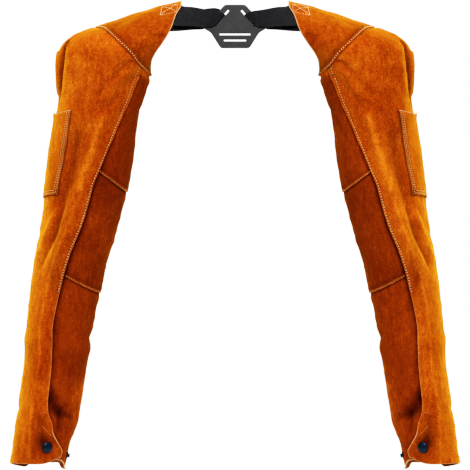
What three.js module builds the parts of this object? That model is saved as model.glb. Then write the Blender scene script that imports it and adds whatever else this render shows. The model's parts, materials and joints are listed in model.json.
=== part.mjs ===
// Pair of welder's cape sleeves in split leather: two sleeves whose shoulder capes are joined across the
// wearer's back by webbing and a moulded back plate. Millimetres, +Z up, -Y is the wearer's back,
// the origin lies midway between the two neck tips of the capes.
import * as THREE from "three";

// ---------------------------------------------------------------- driving sizes
const LEATHER = 1.6; // wall of the split leather
const GAP = 0.8; // air between two layers of a lapped seam
const LAP = 9; // width of a lapped seam
const TUCK = 12; // how much further the outer panel goes in under the ridge of the cape
const JOGGLE = 14; // run over which an under layer drops away from a lap
const DROP = LEATHER + GAP;
const TAB_EXTRA = 1.4; // further drop below the cuff tab

const POCKET_LEATHER = 1.8;
const POCKET_BULGE = 2.4; // how far the open mouth of the pocket stands off
const POCKET_SEAT = 1.3; // clearance under its sewn edges

const STRAP_THICK = 1.4;
const STRAP_GAP = 0.8;

const PLATE_THICK = 3.0;
const PLATE_FACE_Y = -54; // face of the plate turned to the back
const PLATE_BEVEL = 0.6;
const SLOT_WIDTH = 3.4;
const STRAIGHT_SLOT_WIDTH = 2.9;
const BAR_WIDTH = 8.0; // plate material outside each slanted slot

const SNAP_RADIUS = 8.2;
const SNAP_HEIGHT = 4.6;
const STUD_RADIUS = 5.4;

const SECTION_PITCH = 45; // usual distance between two sections, for measuring folds
const DEGREE_RUN = 1.19; // usual arc length of one degree round the sleeve

// One row per section of the sleeve, from the free edge of the cape (0) over the cape seam (2) to the hem (20).
// out* and in* are the two silhouette points, seen from the back; near and far are the half depths towards
// the back and the front; crown below 2 makes the shoulder ridge pointed; leanNear and leanFar tip the
// section so that the near hem stands higher than the far one (degrees).
const SECTIONS = [
  // outX,  outZ,  inX,   inZ,  midY, near, far, crown, leanNear, leanFar
  [-81.8, 0.0, -126.0, -107.9, 2, 62, 60, 1.5, 0, 0],
  [-141.5, -16.6, -126.3, -109.4, 2, 72, 70, 1.7, 0, 0],
  [-201.5, -36.5, -126.6, -111.4, 2, 79, 78, 1.9, 0, 0],
  [-235.2, -49.8, -127.1, -114.2, 1, 81, 82, 2, 0, 0],
  [-257.0, -65.6, -127.7, -117.4, 0, 81, 84, 2, 0, 0],
  [-266.7, -88.1, -129.3, -122.6, 0, 80, 84, 2, 0, 0],
  [-266.7, -118.1, -134.2, -132.3, 0, 79, 83, 2, 0, 0],
  [-265.2, -149.6, -140.4, -154.1, 1, 78, 81, 2, 0, 0],
  [-269.7, -181.1, -146.7, -187.1, 2, 77, 79, 2, 0, 0],
  [-276.5, -223.0, -153.6, -242.5, 4, 75, 76, 2, 0, 0],
  [-282.5, -268.0, -162.0, -287.5, 6, 73, 74, 2, 0, 0],
  [-287.7, -313.0, -173.7, -331.8, 7, 71, 71, 2, 0, 0],
  [-296.4, -358.0, -188.4, -376.8, 7, 68, 69, 2, 0, 0],
  [-302.7, -403.0, -198.9, -421.0, 6, 66, 67, 2, 0, 0],
  [-308.4, -448.0, -209.4, -464.5, 4, 64, 65, 2, 0, 0],
  [-312.9, -493.0, -216.9, -508.0, 2, 62, 63, 2, 0, 0],
  [-315.9, -538.0, -222.9, -551.5, -1, 60, 60, 2, 0, 0],
  [-320.9, -583.0, -230.1, -595.8, -5, 57, 57, 2, 1, 1],
  [-324.9, -620.5, -235.5, -631.0, -9, 55, 54, 2, 3, 4],
  [-329.2, -655.0, -246.0, -661.0, -13, 53, 51, 2, 6, 8],
  [-334.2, -691.0, -253.2, -695.5, -17, 51, 49, 2, 9, 13],
];
const LAST = SECTIONS.length - 1;
const CAPE_SEAM = 2;

// Edges that run along the sleeve, in degrees round the section (0 outer side, 90 back, 180 body side).
// nearEdge: edge of the outer panel, which ends in the cuff tab; underEdge: edge of the inner panels below it;
// farEdge: lap on the wearer's front.
const EDGES = [
  // s, nearEdge, underEdge, farEdge
  [0, 139, 130, -141], [3, 142, 133, -141], [5, 142.5, 133.5, -140], [6, 141, 132, -139], [6.5, 138.5, 130, -138.5],
  [7, 134, 125.5, -138], [7.6, 127, 119, -137.5], [8.3, 118.5, 110, -136.5], [9.43, 107.2, 99, -134], [10, 103.2, 95, -133],
  [11.45, 99.2, 91, -130], [12.2, 94, 85.5, -128.5], [12.8, 90, 81.5, -127.5], [14.6, 85.2, 76, -124], [16.3, 91.2, 81, -120.5],
  [17.1, 92.8, 83, -119], [17.6, 96, 85, -118.5], [18.1, 107, 88, -118], [18.55, 114.5, 90, -117], [19, 130, 92, -116],
  [19.4, 145.5, 94, -116], [19.65, 143.5, 94, -116], [20, 137, 94, -116],
];

// Cross seams of the pieced inner panel: section at the near edge and at the body side, and the angles there.
const CROSS_SEAMS = {
  upper: { sNear: 9.41, aNear: 102, sBody: 9.98, aBody: 180 },
  lower: { sNear: 12.92, aNear: 82, sBody: 13.38, aBody: 180 },
};

// Folds of the leather: path in (section, degrees), height along the normal, width, and which panels take it
// (sleeve: outer and inner panels alike).
const FOLDS = [
  { name: "crease ridge", on: "sleeve", height: 5, width: 10, path: [[8.1, 101], [9.75, 90], [11.1, 79], [12.9, 65], [14.2, 63], [15.65, 68], [17.8, 66.5], [19.2, 78], [20, 84]] },
  { name: "hollow beside crease", on: "sleeve", height: -3.5, width: 12, path: [[12.2, 92], [13.2, 80], [14.5, 76], [16.5, 81]] },
  { name: "elbow hollow", on: "sleeve", height: -3, width: 9, path: [[11.5, 66], [12.2, 54], [12.7, 46]] },
  { name: "shoulder fold", on: "sleeve", height: -9, width: 7, path: [[4.4, 31], [4.9, 33], [5.5, 32], [6.1, 27], [6.9, 20]] },
  { name: "shoulder fold lip", on: "sleeve", height: 3, width: 8, path: [[4.4, 47], [5, 52], [5.6, 50], [6.6, 43]] },
  { name: "tab hollow", on: "inner", height: -14, width: 13, path: [[16.8, 92], [17.3, 99], [17.9, 109], [18.5, 116]] },
  { name: "elbow pleat", on: "inner", height: -3, width: 8, path: [[14.9, 205], [14.95, 180], [14.75, 150]] },
  { name: "elbow roll", on: "inner", height: 2.5, width: 9, path: [[15.3, 200], [15.35, 175], [15.1, 150]] },
  { name: "front elbow crease", on: "sleeve", height: -4, width: 10, path: [[12.4, -110], [12.9, -75], [12.7, -45]] },
  { name: "front upper crease", on: "sleeve", height: -4, width: 12, path: [[6.2, -118], [7.6, -80], [9.0, -60]] },
  { name: "front forearm ridge", on: "sleeve", height: 4, width: 11, path: [[13.6, -70], [16, -62], [19.9, -66]] },
  { name: "cape dip", on: "cape", height: -3, width: 12, path: [[0.4, 98], [1.05, 82]] },
];

// ---------------------------------------------------------------- sleeve surface
const rad = (d) => (d * Math.PI) / 180;
const clamp = (v, lo, hi) => Math.min(hi, Math.max(lo, v));
const smooth = (t) => { const c = clamp(t, 0, 1); return c * c * (3 - 2 * c); };
const gauss = (x) => Math.exp(-x * x);

function sectionAt(s) { // smooth curve through the rows
  const k = clamp(Math.floor(s), 0, LAST - 1);
  const t = s - k;
  const row = (i) => SECTIONS[clamp(i, 0, LAST)];
  const [p0, p1, p2, p3] = [row(k - 1), row(k), row(k + 1), row(k + 2)];
  return p1.map((_, c) => {
    const m1 = (p2[c] - p0[c]) / 2, m2 = (p3[c] - p1[c]) / 2, d = p2[c] - p1[c];
    return p1[c] + t * (m1 + t * (3 * d - 2 * m1 - m2 + t * (m1 + m2 - 2 * d)));
  });
}

function edgeAt(s, column) {
  let i = 0;
  while (i < EDGES.length - 2 && s > EDGES[i + 1][0]) i++;
  const [a, b] = [EDGES[i], EDGES[i + 1]];
  const t = clamp((s - a[0]) / (b[0] - a[0]), 0, 1);
  return a[column] + (b[column] - a[column]) * t;
}

function crossSeam(seam, degrees) { // straight when seen from the back
  const [from, to, here] = [seam.aNear, seam.aBody, degrees].map((d) => Math.cos(rad(d)));
  return seam.sNear + ((seam.sBody - seam.sNear) * (from - here)) / (from - to);
}

function basePoint(s, degrees) {
  const [ox, oz, ix, iz, midY, near, far, crown, leanNear, leanFar] = sectionAt(s);
  const a = rad(degrees);
  const c = Math.cos(a), n = Math.sin(a);
  const e = c > 0 ? 2 / crown : 1;
  const u = Math.sign(c) * Math.abs(c) ** e, v = Math.sign(n) * Math.abs(n) ** e;
  const depth = v > 0 ? near : far;
  const x = (ox + ix) / 2 + ((ox - ix) / 2) * u;
  const z = (oz + iz) / 2 + ((oz - iz) / 2) * u;
  // the free edge of the cape swings out at the neck tip and scoops in above the armpit
  const t = (1 - u) / 2, w = Math.max(0, 1 - s / 2) ** 2;
  const scoop = w * (4.2 * gauss((t - 0.1) / 0.1) - 5 * gauss((t - 0.82) / 0.17) + 7.6 * gauss((t - 0.45) / 0.3) * smooth(v / 0.45));
  const back = w * Math.max(0, -v) * 10; // the front half of the cape is cut back
  const tip = v > 0 ? Math.tan(rad(leanNear)) : Math.tan(rad(leanFar));
  return new THREE.Vector3(x + scoop - back, midY - depth * v, z + depth * v * tip);
}

function foldHeight(s, degrees, kind) {
  let h = 0;
  const turn = ((degrees % 360) + 360) % 360;
  for (const fold of FOLDS) {
    if (fold.on === "cape" ? kind !== "cape" : kind === "cape" || (fold.on === "inner" && kind !== "inner")) continue;
    let best = 1e9;
    for (let i = 0; i + 1 < fold.path.length; i++) {
      const [s1, d1] = fold.path[i], [s2, d2] = fold.path[i + 1];
      for (const d of [turn, turn - 360]) {
        const px = (s - s1) * SECTION_PITCH, py = (d - d1) * DEGREE_RUN;
        const qx = (s2 - s1) * SECTION_PITCH, qy = (d2 - d1) * DEGREE_RUN;
        const t = clamp((px * qx + py * qy) / (qx * qx + qy * qy), 0, 1);
        best = Math.min(best, Math.hypot(px - t * qx, py - t * qy));
      }
    }
    h += fold.height * gauss(best / fold.width);
  }
  return h;
}

function surfaceNormal(s, degrees) {
  const lo = Math.max(0, s - 0.12), hi = Math.min(LAST, s + 0.12);
  const along = basePoint(hi, degrees).sub(basePoint(lo, degrees));
  const round = basePoint(s, degrees + 3).sub(basePoint(s, degrees - 3));
  return along.cross(round).normalize();
}

function surface(s, degrees, offset, kind) { // point at a distance outside the sleeve surface
  const lift = offset + foldHeight(s, degrees, kind);
  return basePoint(s, degrees).addScaledVector(surfaceNormal(s, degrees), lift);
}

const runPerSection = (s, degrees) => // mm of leather between two neighbouring sections
  basePoint(Math.min(LAST, s + 0.1), degrees).distanceTo(basePoint(Math.max(0, s - 0.1), degrees)) / 0.2;
const capeLap = (degrees) => Math.min(0.4, LAP / runPerSection(CAPE_SEAM, degrees));
const outerTuck = (degrees) => capeLap(degrees) + Math.min(0.4, (TUCK * gauss(degrees / 15)) / runPerSection(CAPE_SEAM, degrees));
const seamLap = (s, degrees) => LAP / runPerSection(s, degrees);

// The cape hangs lower over the shoulder ridge and towards the armpit.
const capeSeam = (degrees) => {
  const d = ((degrees + 540) % 360) - 180;
  return CAPE_SEAM + 0.18 * gauss((d - 8) / 22) + 0.31 * smooth((d - 106) / 34);
};

// The hem rises round the end of the cuff tab and along the wearer's front, and hangs low at the body side.
const hemRise = (degrees, kind) => (kind === "outer"
  ? 0.4 * gauss((degrees - 141) / 23) - 0.04 * gauss((degrees - 65) / 30) + 0.3 * smooth((-50 - degrees) / 25)
  : 0.31 * gauss((degrees - 143) / 29) - 0.15 * gauss((degrees - 197) / 14) + 0.3 * smooth((degrees - 212) / 20));
const withHem = (s, degrees, kind) => (s <= 19 ? s : 19 + (s - 19) * (1 - hemRise(degrees, kind)));

// ---------------------------------------------------------------- solids
function solidFromSkins(outer, inner) { // two grids of points joined round the rim
  const rows = outer.length, cols = outer[0].length, half = rows * cols;
  const points = [...outer.flat(), ...inner.flat()];
  const at = (i, j) => i * cols + j;
  const tris = [];
  const quad = (a, b, c, d) => tris.push(a, b, c, a, c, d);
  for (let i = 0; i + 1 < rows; i++) {
    for (let j = 0; j + 1 < cols; j++) {
      quad(at(i, j), at(i + 1, j), at(i + 1, j + 1), at(i, j + 1));
      quad(half + at(i, j), half + at(i, j + 1), half + at(i + 1, j + 1), half + at(i + 1, j));
    }
  }
  const rim = [];
  for (let j = 0; j + 1 < cols; j++) rim.push([at(0, j), at(0, j + 1)]);
  for (let i = 0; i + 1 < rows; i++) rim.push([at(i, cols - 1), at(i + 1, cols - 1)]);
  for (let j = cols - 1; j > 0; j--) rim.push([at(rows - 1, j), at(rows - 1, j - 1)]);
  for (let i = rows - 1; i > 0; i--) rim.push([at(i, 0), at(i - 1, 0)]);
  for (const [a, b] of rim) quad(a, b, half + b, half + a);
  const geometry = new THREE.BufferGeometry();
  geometry.setAttribute("position", new THREE.Float32BufferAttribute(points.flatMap((p) => [p.x, p.y, p.z]), 3));
  geometry.setIndex(tris);
  return geometry;
}

function panel(sRows, columns, kind, offsetAt, thickness = LEATHER) {
  // sRows(degrees) gives the sections down the panel, columns(s) the angles across it
  const outer = [], inner = [];
  const count = sRows(90).length, across = columns(CAPE_SEAM).length;
  for (let i = 0; i < count; i++) {
    outer.push([]);
    inner.push([]);
    for (let j = 0; j < across; j++) {
      let s = sRows(90)[i];
      let d = columns(s)[j];
      s = sRows(d)[i];
      d = columns(s)[j];
      const o = offsetAt(s, d);
      outer[i].push(surface(s, d, o, kind));
      inner[i].push(surface(s, d, o - thickness, kind));
    }
  }
  return solidFromSkins(outer, inner);
}

const spread = (a, b, n) => Array.from({ length: n + 1 }, (_, i) => a + ((b - a) * i) / n);
const lapDegrees = LAP / DEGREE_RUN;

const OUTER_COLUMNS = 14, INNER_COLUMNS = 5;
const outerColumns = (s) => {
  const far = edgeAt(s, 3), near = edgeAt(s, 1);
  return [far, ...spread(far + lapDegrees, near - lapDegrees, OUTER_COLUMNS), near];
};
const innerColumns = (s) => {
  const near = edgeAt(s, 1), under = edgeAt(s, 2), far = edgeAt(s, 3) + 360;
  return [under, (under + near) / 2, near, ...spread(near + 8, far - 8, INNER_COLUMNS - 2), far, far + lapDegrees];
};
const capeColumns = () => {
  const cols = outerColumns(CAPE_SEAM);
  const body = innerColumns(CAPE_SEAM).filter((d) => d > cols[cols.length - 1] + 1 && d < 168);
  const front = innerColumns(CAPE_SEAM).filter((d) => d - 360 < cols[0] - 1 && d - 360 > -168).map((d) => d - 360);
  return [-168, ...front, ...cols, ...body, 168];
};

const dropUnderCape = (s, d) => {
  const run = runPerSection(CAPE_SEAM, d);
  return -DROP * smooth(1 - ((s - capeSeam(d)) * run - 1.5) / Math.max(3, Math.min(JOGGLE, run * 2)));
};
const dropUnderOuter = (s, d) => {
  const near = (d - edgeAt(s, 1)) * DEGREE_RUN, far = (edgeAt(s, 3) + 360 - d) * DEGREE_RUN;
  const tab = TAB_EXTRA * smooth((s - 17.6) / 0.5); // room for the snap below the cuff tab
  return -(DROP + tab) * smooth(1 - (near - 1.5) / JOGGLE) - DROP * smooth(1 - (far - 1.5) / JOGGLE);
};
const dropUnderSeam = (seam) => (s, d) => {
  const down = (s - crossSeam(seam, d)) * SECTION_PITCH;
  return -DROP * smooth(1 - (down - 1.5) / JOGGLE);
};

// ---------------------------------------------------------------- the pieces of one sleeve
const CAPE_ROWS = [0, 0.3, 0.7, 1.1, 1.5];
const OUTER_ROWS = [2.6, 3.2, 3.8, 4.4, 5, 5.7, 6.4, 7.2, 8, 8.5, 9, 9.5, 10, 11, 12, 13, 14, 15, 16, 17, 17.6, 18.1, 18.55, 19, 19.4, 20];

function cape() {
  const rows = (d) => [...CAPE_ROWS, CAPE_SEAM - capeLap(d), CAPE_SEAM].map((s) => (s * capeSeam(d)) / CAPE_SEAM);
  return panel(rows, capeColumns, "cape", () => 0);
}

function outerPanel() {
  const rows = (d) => [CAPE_SEAM - outerTuck(d), CAPE_SEAM, ...OUTER_ROWS.map((s) => withHem(s, d, "outer"))];
  return panel(rows, outerColumns, "outer", dropUnderCape);
}

function innerUpper() {
  const end = (d) => crossSeam(CROSS_SEAMS.upper, d);
  const rows = (d) => {
    const lap = seamLap(9.7, d);
    return [CAPE_SEAM - capeLap(d), CAPE_SEAM, 2.6, 3.2, 3.8, 4.4, 5, 5.7, 6.4, 7.2, 8, 8.5, end(d) - lap, end(d)];
  };
  return panel(rows, innerColumns, "inner", (s, d) => dropUnderCape(s, d) + dropUnderOuter(s, d));
}

function innerMiddle() {
  const start = (d) => crossSeam(CROSS_SEAMS.upper, d), end = (d) => crossSeam(CROSS_SEAMS.lower, d);
  const rows = (d) => {
    const [l1, l2] = [seamLap(9.7, d), seamLap(13.1, d)];
    return [start(d) - l1, start(d), ...spread(start(d) + 0.4, end(d) - l2, 4), end(d)];
  };
  const drop = dropUnderSeam(CROSS_SEAMS.upper);
  return panel(rows, innerColumns, "inner", (s, d) => drop(s, d) + dropUnderOuter(s, d));
}

function innerLower() {
  const start = (d) => crossSeam(CROSS_SEAMS.lower, d);
  const rows = (d) => {
    const lap = seamLap(13.1, d);
    const tail = [18, 18.5, 19, 19.4, 20].map((s) => withHem(s, d, "inner"));
    return [start(d) - lap, start(d), start(d) + 0.4, ...spread(14.4, 17.4, 5), ...tail];
  };
  const drop = dropUnderSeam(CROSS_SEAMS.lower);
  return panel(rows, innerColumns, "inner", (s, d) => drop(s, d) + dropUnderOuter(s, d));
}

// Patch pocket on the outer side: mouth, sides and bottom in (section, degrees).
const POCKET = {
  backTop: 57.5, backEnd: 52.5, frontTop: -50, frontEnd: -45, topBack: 7.58, topFront: 7.82, endBack: 10.43, endFront: 10.74, rows: 6, cols: 7,
};
function pocket() {
  const blend = (from, to, p) => from + (to - from) * p;
  const columns = (s) => {
    const k = (s - POCKET.topBack) / (POCKET.endBack - POCKET.topBack);
    return spread(blend(POCKET.frontTop, POCKET.frontEnd, k), blend(POCKET.backTop, POCKET.backEnd, k), POCKET.cols);
  };
  const part = (s, d) => { const c = columns(s); return (d - c[0]) / (c[POCKET.cols] - c[0]); };
  const rows = (d) => {
    const p = part(POCKET.topBack, d);
    return spread(blend(POCKET.topFront, POCKET.topBack, p), blend(POCKET.endFront, POCKET.endBack, p), POCKET.rows);
  };
  const stand = (s, d) => {
    const p = part(s, d), q = (s - rows(d)[0]) / (rows(d)[POCKET.rows] - rows(d)[0]);
    const across = smooth(Math.min(p, 1 - p) / 0.3), down = smooth((1 - q) / 0.35);
    return POCKET_SEAT + POCKET_LEATHER + POCKET_BULGE * across * down * (0.55 + 0.45 * (1 - q));
  };
  return panel(rows, columns, "outer", stand, POCKET_LEATHER);
}

function onSurface(profile, segments, s, degrees, offset, kind) { // turned piece standing on the leather
  const geometry = new THREE.LatheGeometry(profile.map(([r, h]) => new THREE.Vector2(r, h)), segments);
  const turn = new THREE.Quaternion().setFromUnitVectors(new THREE.Vector3(0, 1, 0), surfaceNormal(s, degrees));
  geometry.applyQuaternion(turn);
  const p = surface(s, degrees, offset, kind);
  return geometry.translate(p.x, p.y, p.z);
}

const SNAP = { s: 19.23, degrees: 110 };
const STUD = { s: 19.48, degrees: 177 };
function snapCap() {
  const [r, h] = [SNAP_RADIUS, SNAP_HEIGHT];
  const profile = [[0, 0], [r * 0.97, 0], [r, 0.15 * h], [r * 0.92, 0.5 * h], [r * 0.66, 0.83 * h], [r * 0.33, 0.97 * h], [0, h]];
  return onSurface(profile, 16, SNAP.s, SNAP.degrees, 0.4, "outer");
}
function snapStud() {
  const r = STUD_RADIUS;
  const profile = [[0, 0], [r, 0], [r, 0.9], [r * 0.55, 1.2], [r * 0.46, 2.2], [r * 0.6, 3.0], [r * 0.5, 3.7], [0, 3.9]];
  return onSurface(profile, 12, STUD.s, STUD.degrees, 0.5, "inner");
}

// ---------------------------------------------------------------- back plate and straps
const PLATE = { // half outline, from the top edge down
  topHalf: 15, topZ: -12.8, wingHalf: 46, wingZ: -47.4, notchHalf: 35.6, notchZ: -53.2, endHalf: 21, endZ: -76.4,
};
const SLOTS = [ // straight slots across the plate: half length and height
  { half: 23, z: -56.3 },
  { half: 16.6, z: -65.2 },
];
const WING = new THREE.Vector2(PLATE.wingHalf - PLATE.topHalf, PLATE.wingZ - PLATE.topZ).normalize(); // along the slanted edge
const WING_IN = new THREE.Vector2(WING.y, -WING.x); // from that edge into the plate
const slantPoint = (along, into) =>
  new THREE.Vector2(PLATE.topHalf, PLATE.topZ).addScaledVector(WING, along).addScaledVector(WING_IN, into);
const SLANT = { from: 1.8, to: 36 }; // slot, measured along the slanted edge
// The webbing covers the slanted edge from the first to the second value (mm along it) and leaves the top end of
// the slot free; in the slot it is squeezed to the second pair.
const STRAP_SPAN = { edge: [13.4, 45.2], slot: [11, 34.8] };

function roundedShape(corners, radius, target) { // corner points with the corners rounded
  const n = corners.length;
  for (let i = 0; i < n; i++) {
    const p = corners[i], before = corners[(i + n - 1) % n], after = corners[(i + 1) % n];
    const r = Math.min(radius, p.distanceTo(before) / 2.2, p.distanceTo(after) / 2.2);
    const a = before.clone().sub(p).setLength(r).add(p), b = after.clone().sub(p).setLength(r).add(p);
    if (i === 0) target.moveTo(a.x, a.y);
    else target.lineTo(a.x, a.y);
    target.quadraticCurveTo(p.x, p.y, b.x, b.y);
  }
  target.closePath();
  return target;
}

function backPlate() {
  const { topHalf, topZ, wingHalf, wingZ, notchHalf, notchZ, endHalf, endZ } = PLATE;
  const right = [[topHalf, topZ], [wingHalf, wingZ], [notchHalf, notchZ], [endHalf, endZ]];
  const outline = [...right.map(([x, z]) => [-x, z]), ...[...right].reverse()].map(([x, z]) => new THREE.Vector2(x, z)); // counter-clockwise
  const shape = roundedShape(outline, 3.5, new THREE.Shape());
  for (const { half, z } of SLOTS) {
    const w = STRAIGHT_SLOT_WIDTH / 2;
    const box = [[-half, z - w], [half, z - w], [half, z + w], [-half, z + w]].map(([x, y]) => new THREE.Vector2(x, y));
    shape.holes.push(roundedShape(box, w, new THREE.Path()));
  }
  const w = SLOT_WIDTH / 2;
  for (const side of [1, -1]) {
    const box = [slantPoint(SLANT.from, BAR_WIDTH), slantPoint(SLANT.to, BAR_WIDTH),
      slantPoint(SLANT.to, BAR_WIDTH + SLOT_WIDTH), slantPoint(SLANT.from, BAR_WIDTH + SLOT_WIDTH)]
      .map((p) => new THREE.Vector2(side * p.x, p.y));
    shape.holes.push(roundedShape(box, w, new THREE.Path()));
  }
  const geometry = new THREE.ExtrudeGeometry(shape, {
    depth: PLATE_THICK - 2 * PLATE_BEVEL, curveSegments: 2, bevelEnabled: true, bevelThickness: PLATE_BEVEL, bevelSize: PLATE_BEVEL,
    bevelOffset: -PLATE_BEVEL, bevelSegments: 1,
  });
  geometry.rotateX(Math.PI / 2); // shape upright, thickness along Y
  return geometry.translate(0, PLATE_FACE_Y + PLATE_THICK - PLATE_BEVEL, 0);
}

// Stations of the webbing, sewn end first: top and bottom edge of both layers in (section, degrees) under the cape.
const SEWN = [
  { s: 0.45, near: [18, 50], far: [20, 53] },
  { s: 0.22, near: [21, 63], far: [27, 72] },
  { s: 0.04, near: [25, 71], far: [34, 82] },
];
// Free run towards the plate: top and bottom edge of the near and the far layer as x, y, z.
const FREE = [
  { near: [[-74.5, -30, -12.8], [-86, -53, -43.8]], far: [[-78, -29, -20], [-86, -48, -50.4]] },
  { near: [[-61.7, -43, -15.3], [-63, -56, -45]], far: [[-62, -38.5, -20.5], [-63, -51, -49]] },
  { near: [[-41, -52.5, -20.3], [-47, -56.9, -47]], far: [[-37, -48.5, -21], [-47, -50, -48]] },
];

function strap() {
  const across = 3; // columns over the width
  const stations = [];
  const vec = (p) => new THREE.Vector3(...p);
  const line = (a, b) => spread(0, 1, across).map((t) => a.clone().lerp(b, t));
  const sewn = (layer, depth) => SEWN.map((row) =>
    spread(...row[layer], across).map((d) => surface(row.s, d, -(LEATHER + depth), "cape")));
  const free = (layer) => FREE.map((row) => line(...row[layer].map(vec)));
  const inSlot = BAR_WIDTH + SLOT_WIDTH / 2;
  const slant = (along, into, y) => { const p = slantPoint(along, into); return new THREE.Vector3(-p.x, y, p.y); };
  const over = (into, y) => line(...[0, 1].map((k) => slant(STRAP_SPAN.edge[k] + ((STRAP_SPAN.slot[k] - STRAP_SPAN.edge[k]) * into) / inSlot, into, y)));
  const nearY = PLATE_FACE_Y - STRAP_GAP - STRAP_THICK / 2, farY = PLATE_FACE_Y + PLATE_THICK + STRAP_GAP + STRAP_THICK / 2;
  const first = 0.9 + STRAP_THICK / 2, second = first + STRAP_THICK + STRAP_GAP;
  stations.push(...sewn("near", first), ...free("near"));
  stations.push(over(2, nearY), over(inSlot - 1.5, nearY), over(inSlot, nearY + 1.3), over(inSlot, farY - 1.3));
  stations.push(over(inSlot - 1.5, farY), over(2, farY));
  stations.push(...free("far").reverse(), ...sewn("far", second).reverse());
  const rows = stations.length;
  const pick = (i, j) => stations[clamp(i, 0, rows - 1)][clamp(j, 0, across)];
  const outer = [], inner = [];
  for (let i = 0; i < rows; i++) {
    outer.push([]);
    inner.push([]);
    for (let j = 0; j <= across; j++) {
      const before = pick(i, j).clone().sub(pick(i - 1, j)).normalize(), after = pick(i + 1, j).clone().sub(pick(i, j)).normalize();
      const along = before.clone().add(after).normalize();
      const wide = pick(i, j + 1).clone().sub(pick(i, j - 1)).normalize();
      const normal = along.clone().cross(wide).normalize();
      const bend = i > 0 && i < rows - 1 ? Math.max(0.75, Math.sqrt((1 + before.dot(after)) / 2)) : 1; // mitre
      outer[i].push(pick(i, j).clone().addScaledVector(normal, STRAP_THICK / 2 / bend));
      inner[i].push(pick(i, j).clone().addScaledVector(normal, -STRAP_THICK / 2 / bend));
    }
  }
  return solidFromSkins(outer, inner);
}

// ---------------------------------------------------------------- assembly
const COLOURS = { // colour, roughness, metalness
  leather: [0xc4560e, 0.95, 0],
  underLeather: [0xa83e0a, 0.95, 0],
  webbing: [0x1c1c1e, 0.9, 0],
  plate: [0x3a3a3c, 0.55, 0],
  snap: [0x14161a, 0.3, 0.2],
};
const material = (key) => {
  const [color, roughness, metalness] = COLOURS[key];
  return new THREE.MeshStandardMaterial({ color, roughness, metalness });
};

function mirrored(geometry) { // the other side of the body
  const copy = geometry.index ? geometry.toNonIndexed() : geometry.clone();
  const p = copy.getAttribute("position");
  const flipped = new Float32Array(p.count * 3);
  for (let i = 0; i < p.count; i += 3) {
    [0, 2, 1].forEach((k, m) => flipped.set([-p.getX(i + k), p.getY(i + k), p.getZ(i + k)], (i + m) * 3));
  }
  const out = new THREE.BufferGeometry();
  out.setAttribute("position", new THREE.BufferAttribute(flipped, 3));
  return out;
}

const SLEEVE_PIECES = [
  ["cape", cape, "leather"],
  ["outer_panel", outerPanel, "leather"],
  ["inner_upper_panel", innerUpper, "underLeather"],
  ["inner_middle_panel", innerMiddle, "underLeather"],
  ["inner_lower_panel", innerLower, "underLeather"],
  ["pocket", pocket, "leather"],
  ["snap_cap", snapCap, "snap"],
  ["snap_stud", snapStud, "snap"],
  ["strap", strap, "webbing"],
];

const group = new THREE.Group();
group.name = "welding_sleeves";
const add = (name, geometry, key) => {
  const mesh = new THREE.Mesh(geometry, material(key));
  mesh.name = name;
  group.add(mesh);
};
for (const [name, make, key] of SLEEVE_PIECES) {
  const geometry = make();
  add(`left_${name}`, geometry, key);
  add(`right_${name}`, mirrored(geometry), key);
}
add("back_plate", backPlate(), "plate");

export default group;
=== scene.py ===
"""Looks of a pair of welder's cape sleeves in split leather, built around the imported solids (metres, +Z up)."""
import json
import math

import bpy
import numpy as np
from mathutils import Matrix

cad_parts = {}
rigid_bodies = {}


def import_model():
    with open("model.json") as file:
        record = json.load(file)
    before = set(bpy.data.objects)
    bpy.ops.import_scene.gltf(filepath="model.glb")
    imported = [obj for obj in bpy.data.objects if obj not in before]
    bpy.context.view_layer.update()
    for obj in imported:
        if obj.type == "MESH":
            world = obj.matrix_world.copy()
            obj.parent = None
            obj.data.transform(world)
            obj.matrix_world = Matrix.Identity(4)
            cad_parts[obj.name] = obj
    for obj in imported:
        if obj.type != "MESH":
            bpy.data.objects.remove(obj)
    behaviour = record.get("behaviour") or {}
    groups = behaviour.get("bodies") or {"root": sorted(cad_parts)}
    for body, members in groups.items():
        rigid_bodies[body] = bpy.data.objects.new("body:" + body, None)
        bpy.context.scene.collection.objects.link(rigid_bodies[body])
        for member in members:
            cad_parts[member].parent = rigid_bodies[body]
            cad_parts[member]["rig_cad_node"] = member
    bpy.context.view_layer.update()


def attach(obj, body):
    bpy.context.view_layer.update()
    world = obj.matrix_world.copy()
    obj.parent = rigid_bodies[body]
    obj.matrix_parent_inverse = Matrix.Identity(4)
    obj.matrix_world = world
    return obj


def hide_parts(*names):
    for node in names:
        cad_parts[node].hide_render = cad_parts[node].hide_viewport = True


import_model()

# ---------------------------------------------------------------- sizes, in millimetres
LEATHER = 1.6
AIR = 0.35  # between two sewn layers
DROP = LEATHER + AIR
LAP = 9.0
JOGGLE = 9.0
DEGREE_RUN = 1.19
PITCH = 45.0
CAPE_SEAM = 2.0
SEW_IN = 1.9  # stitch row inside a lapped edge

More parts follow.
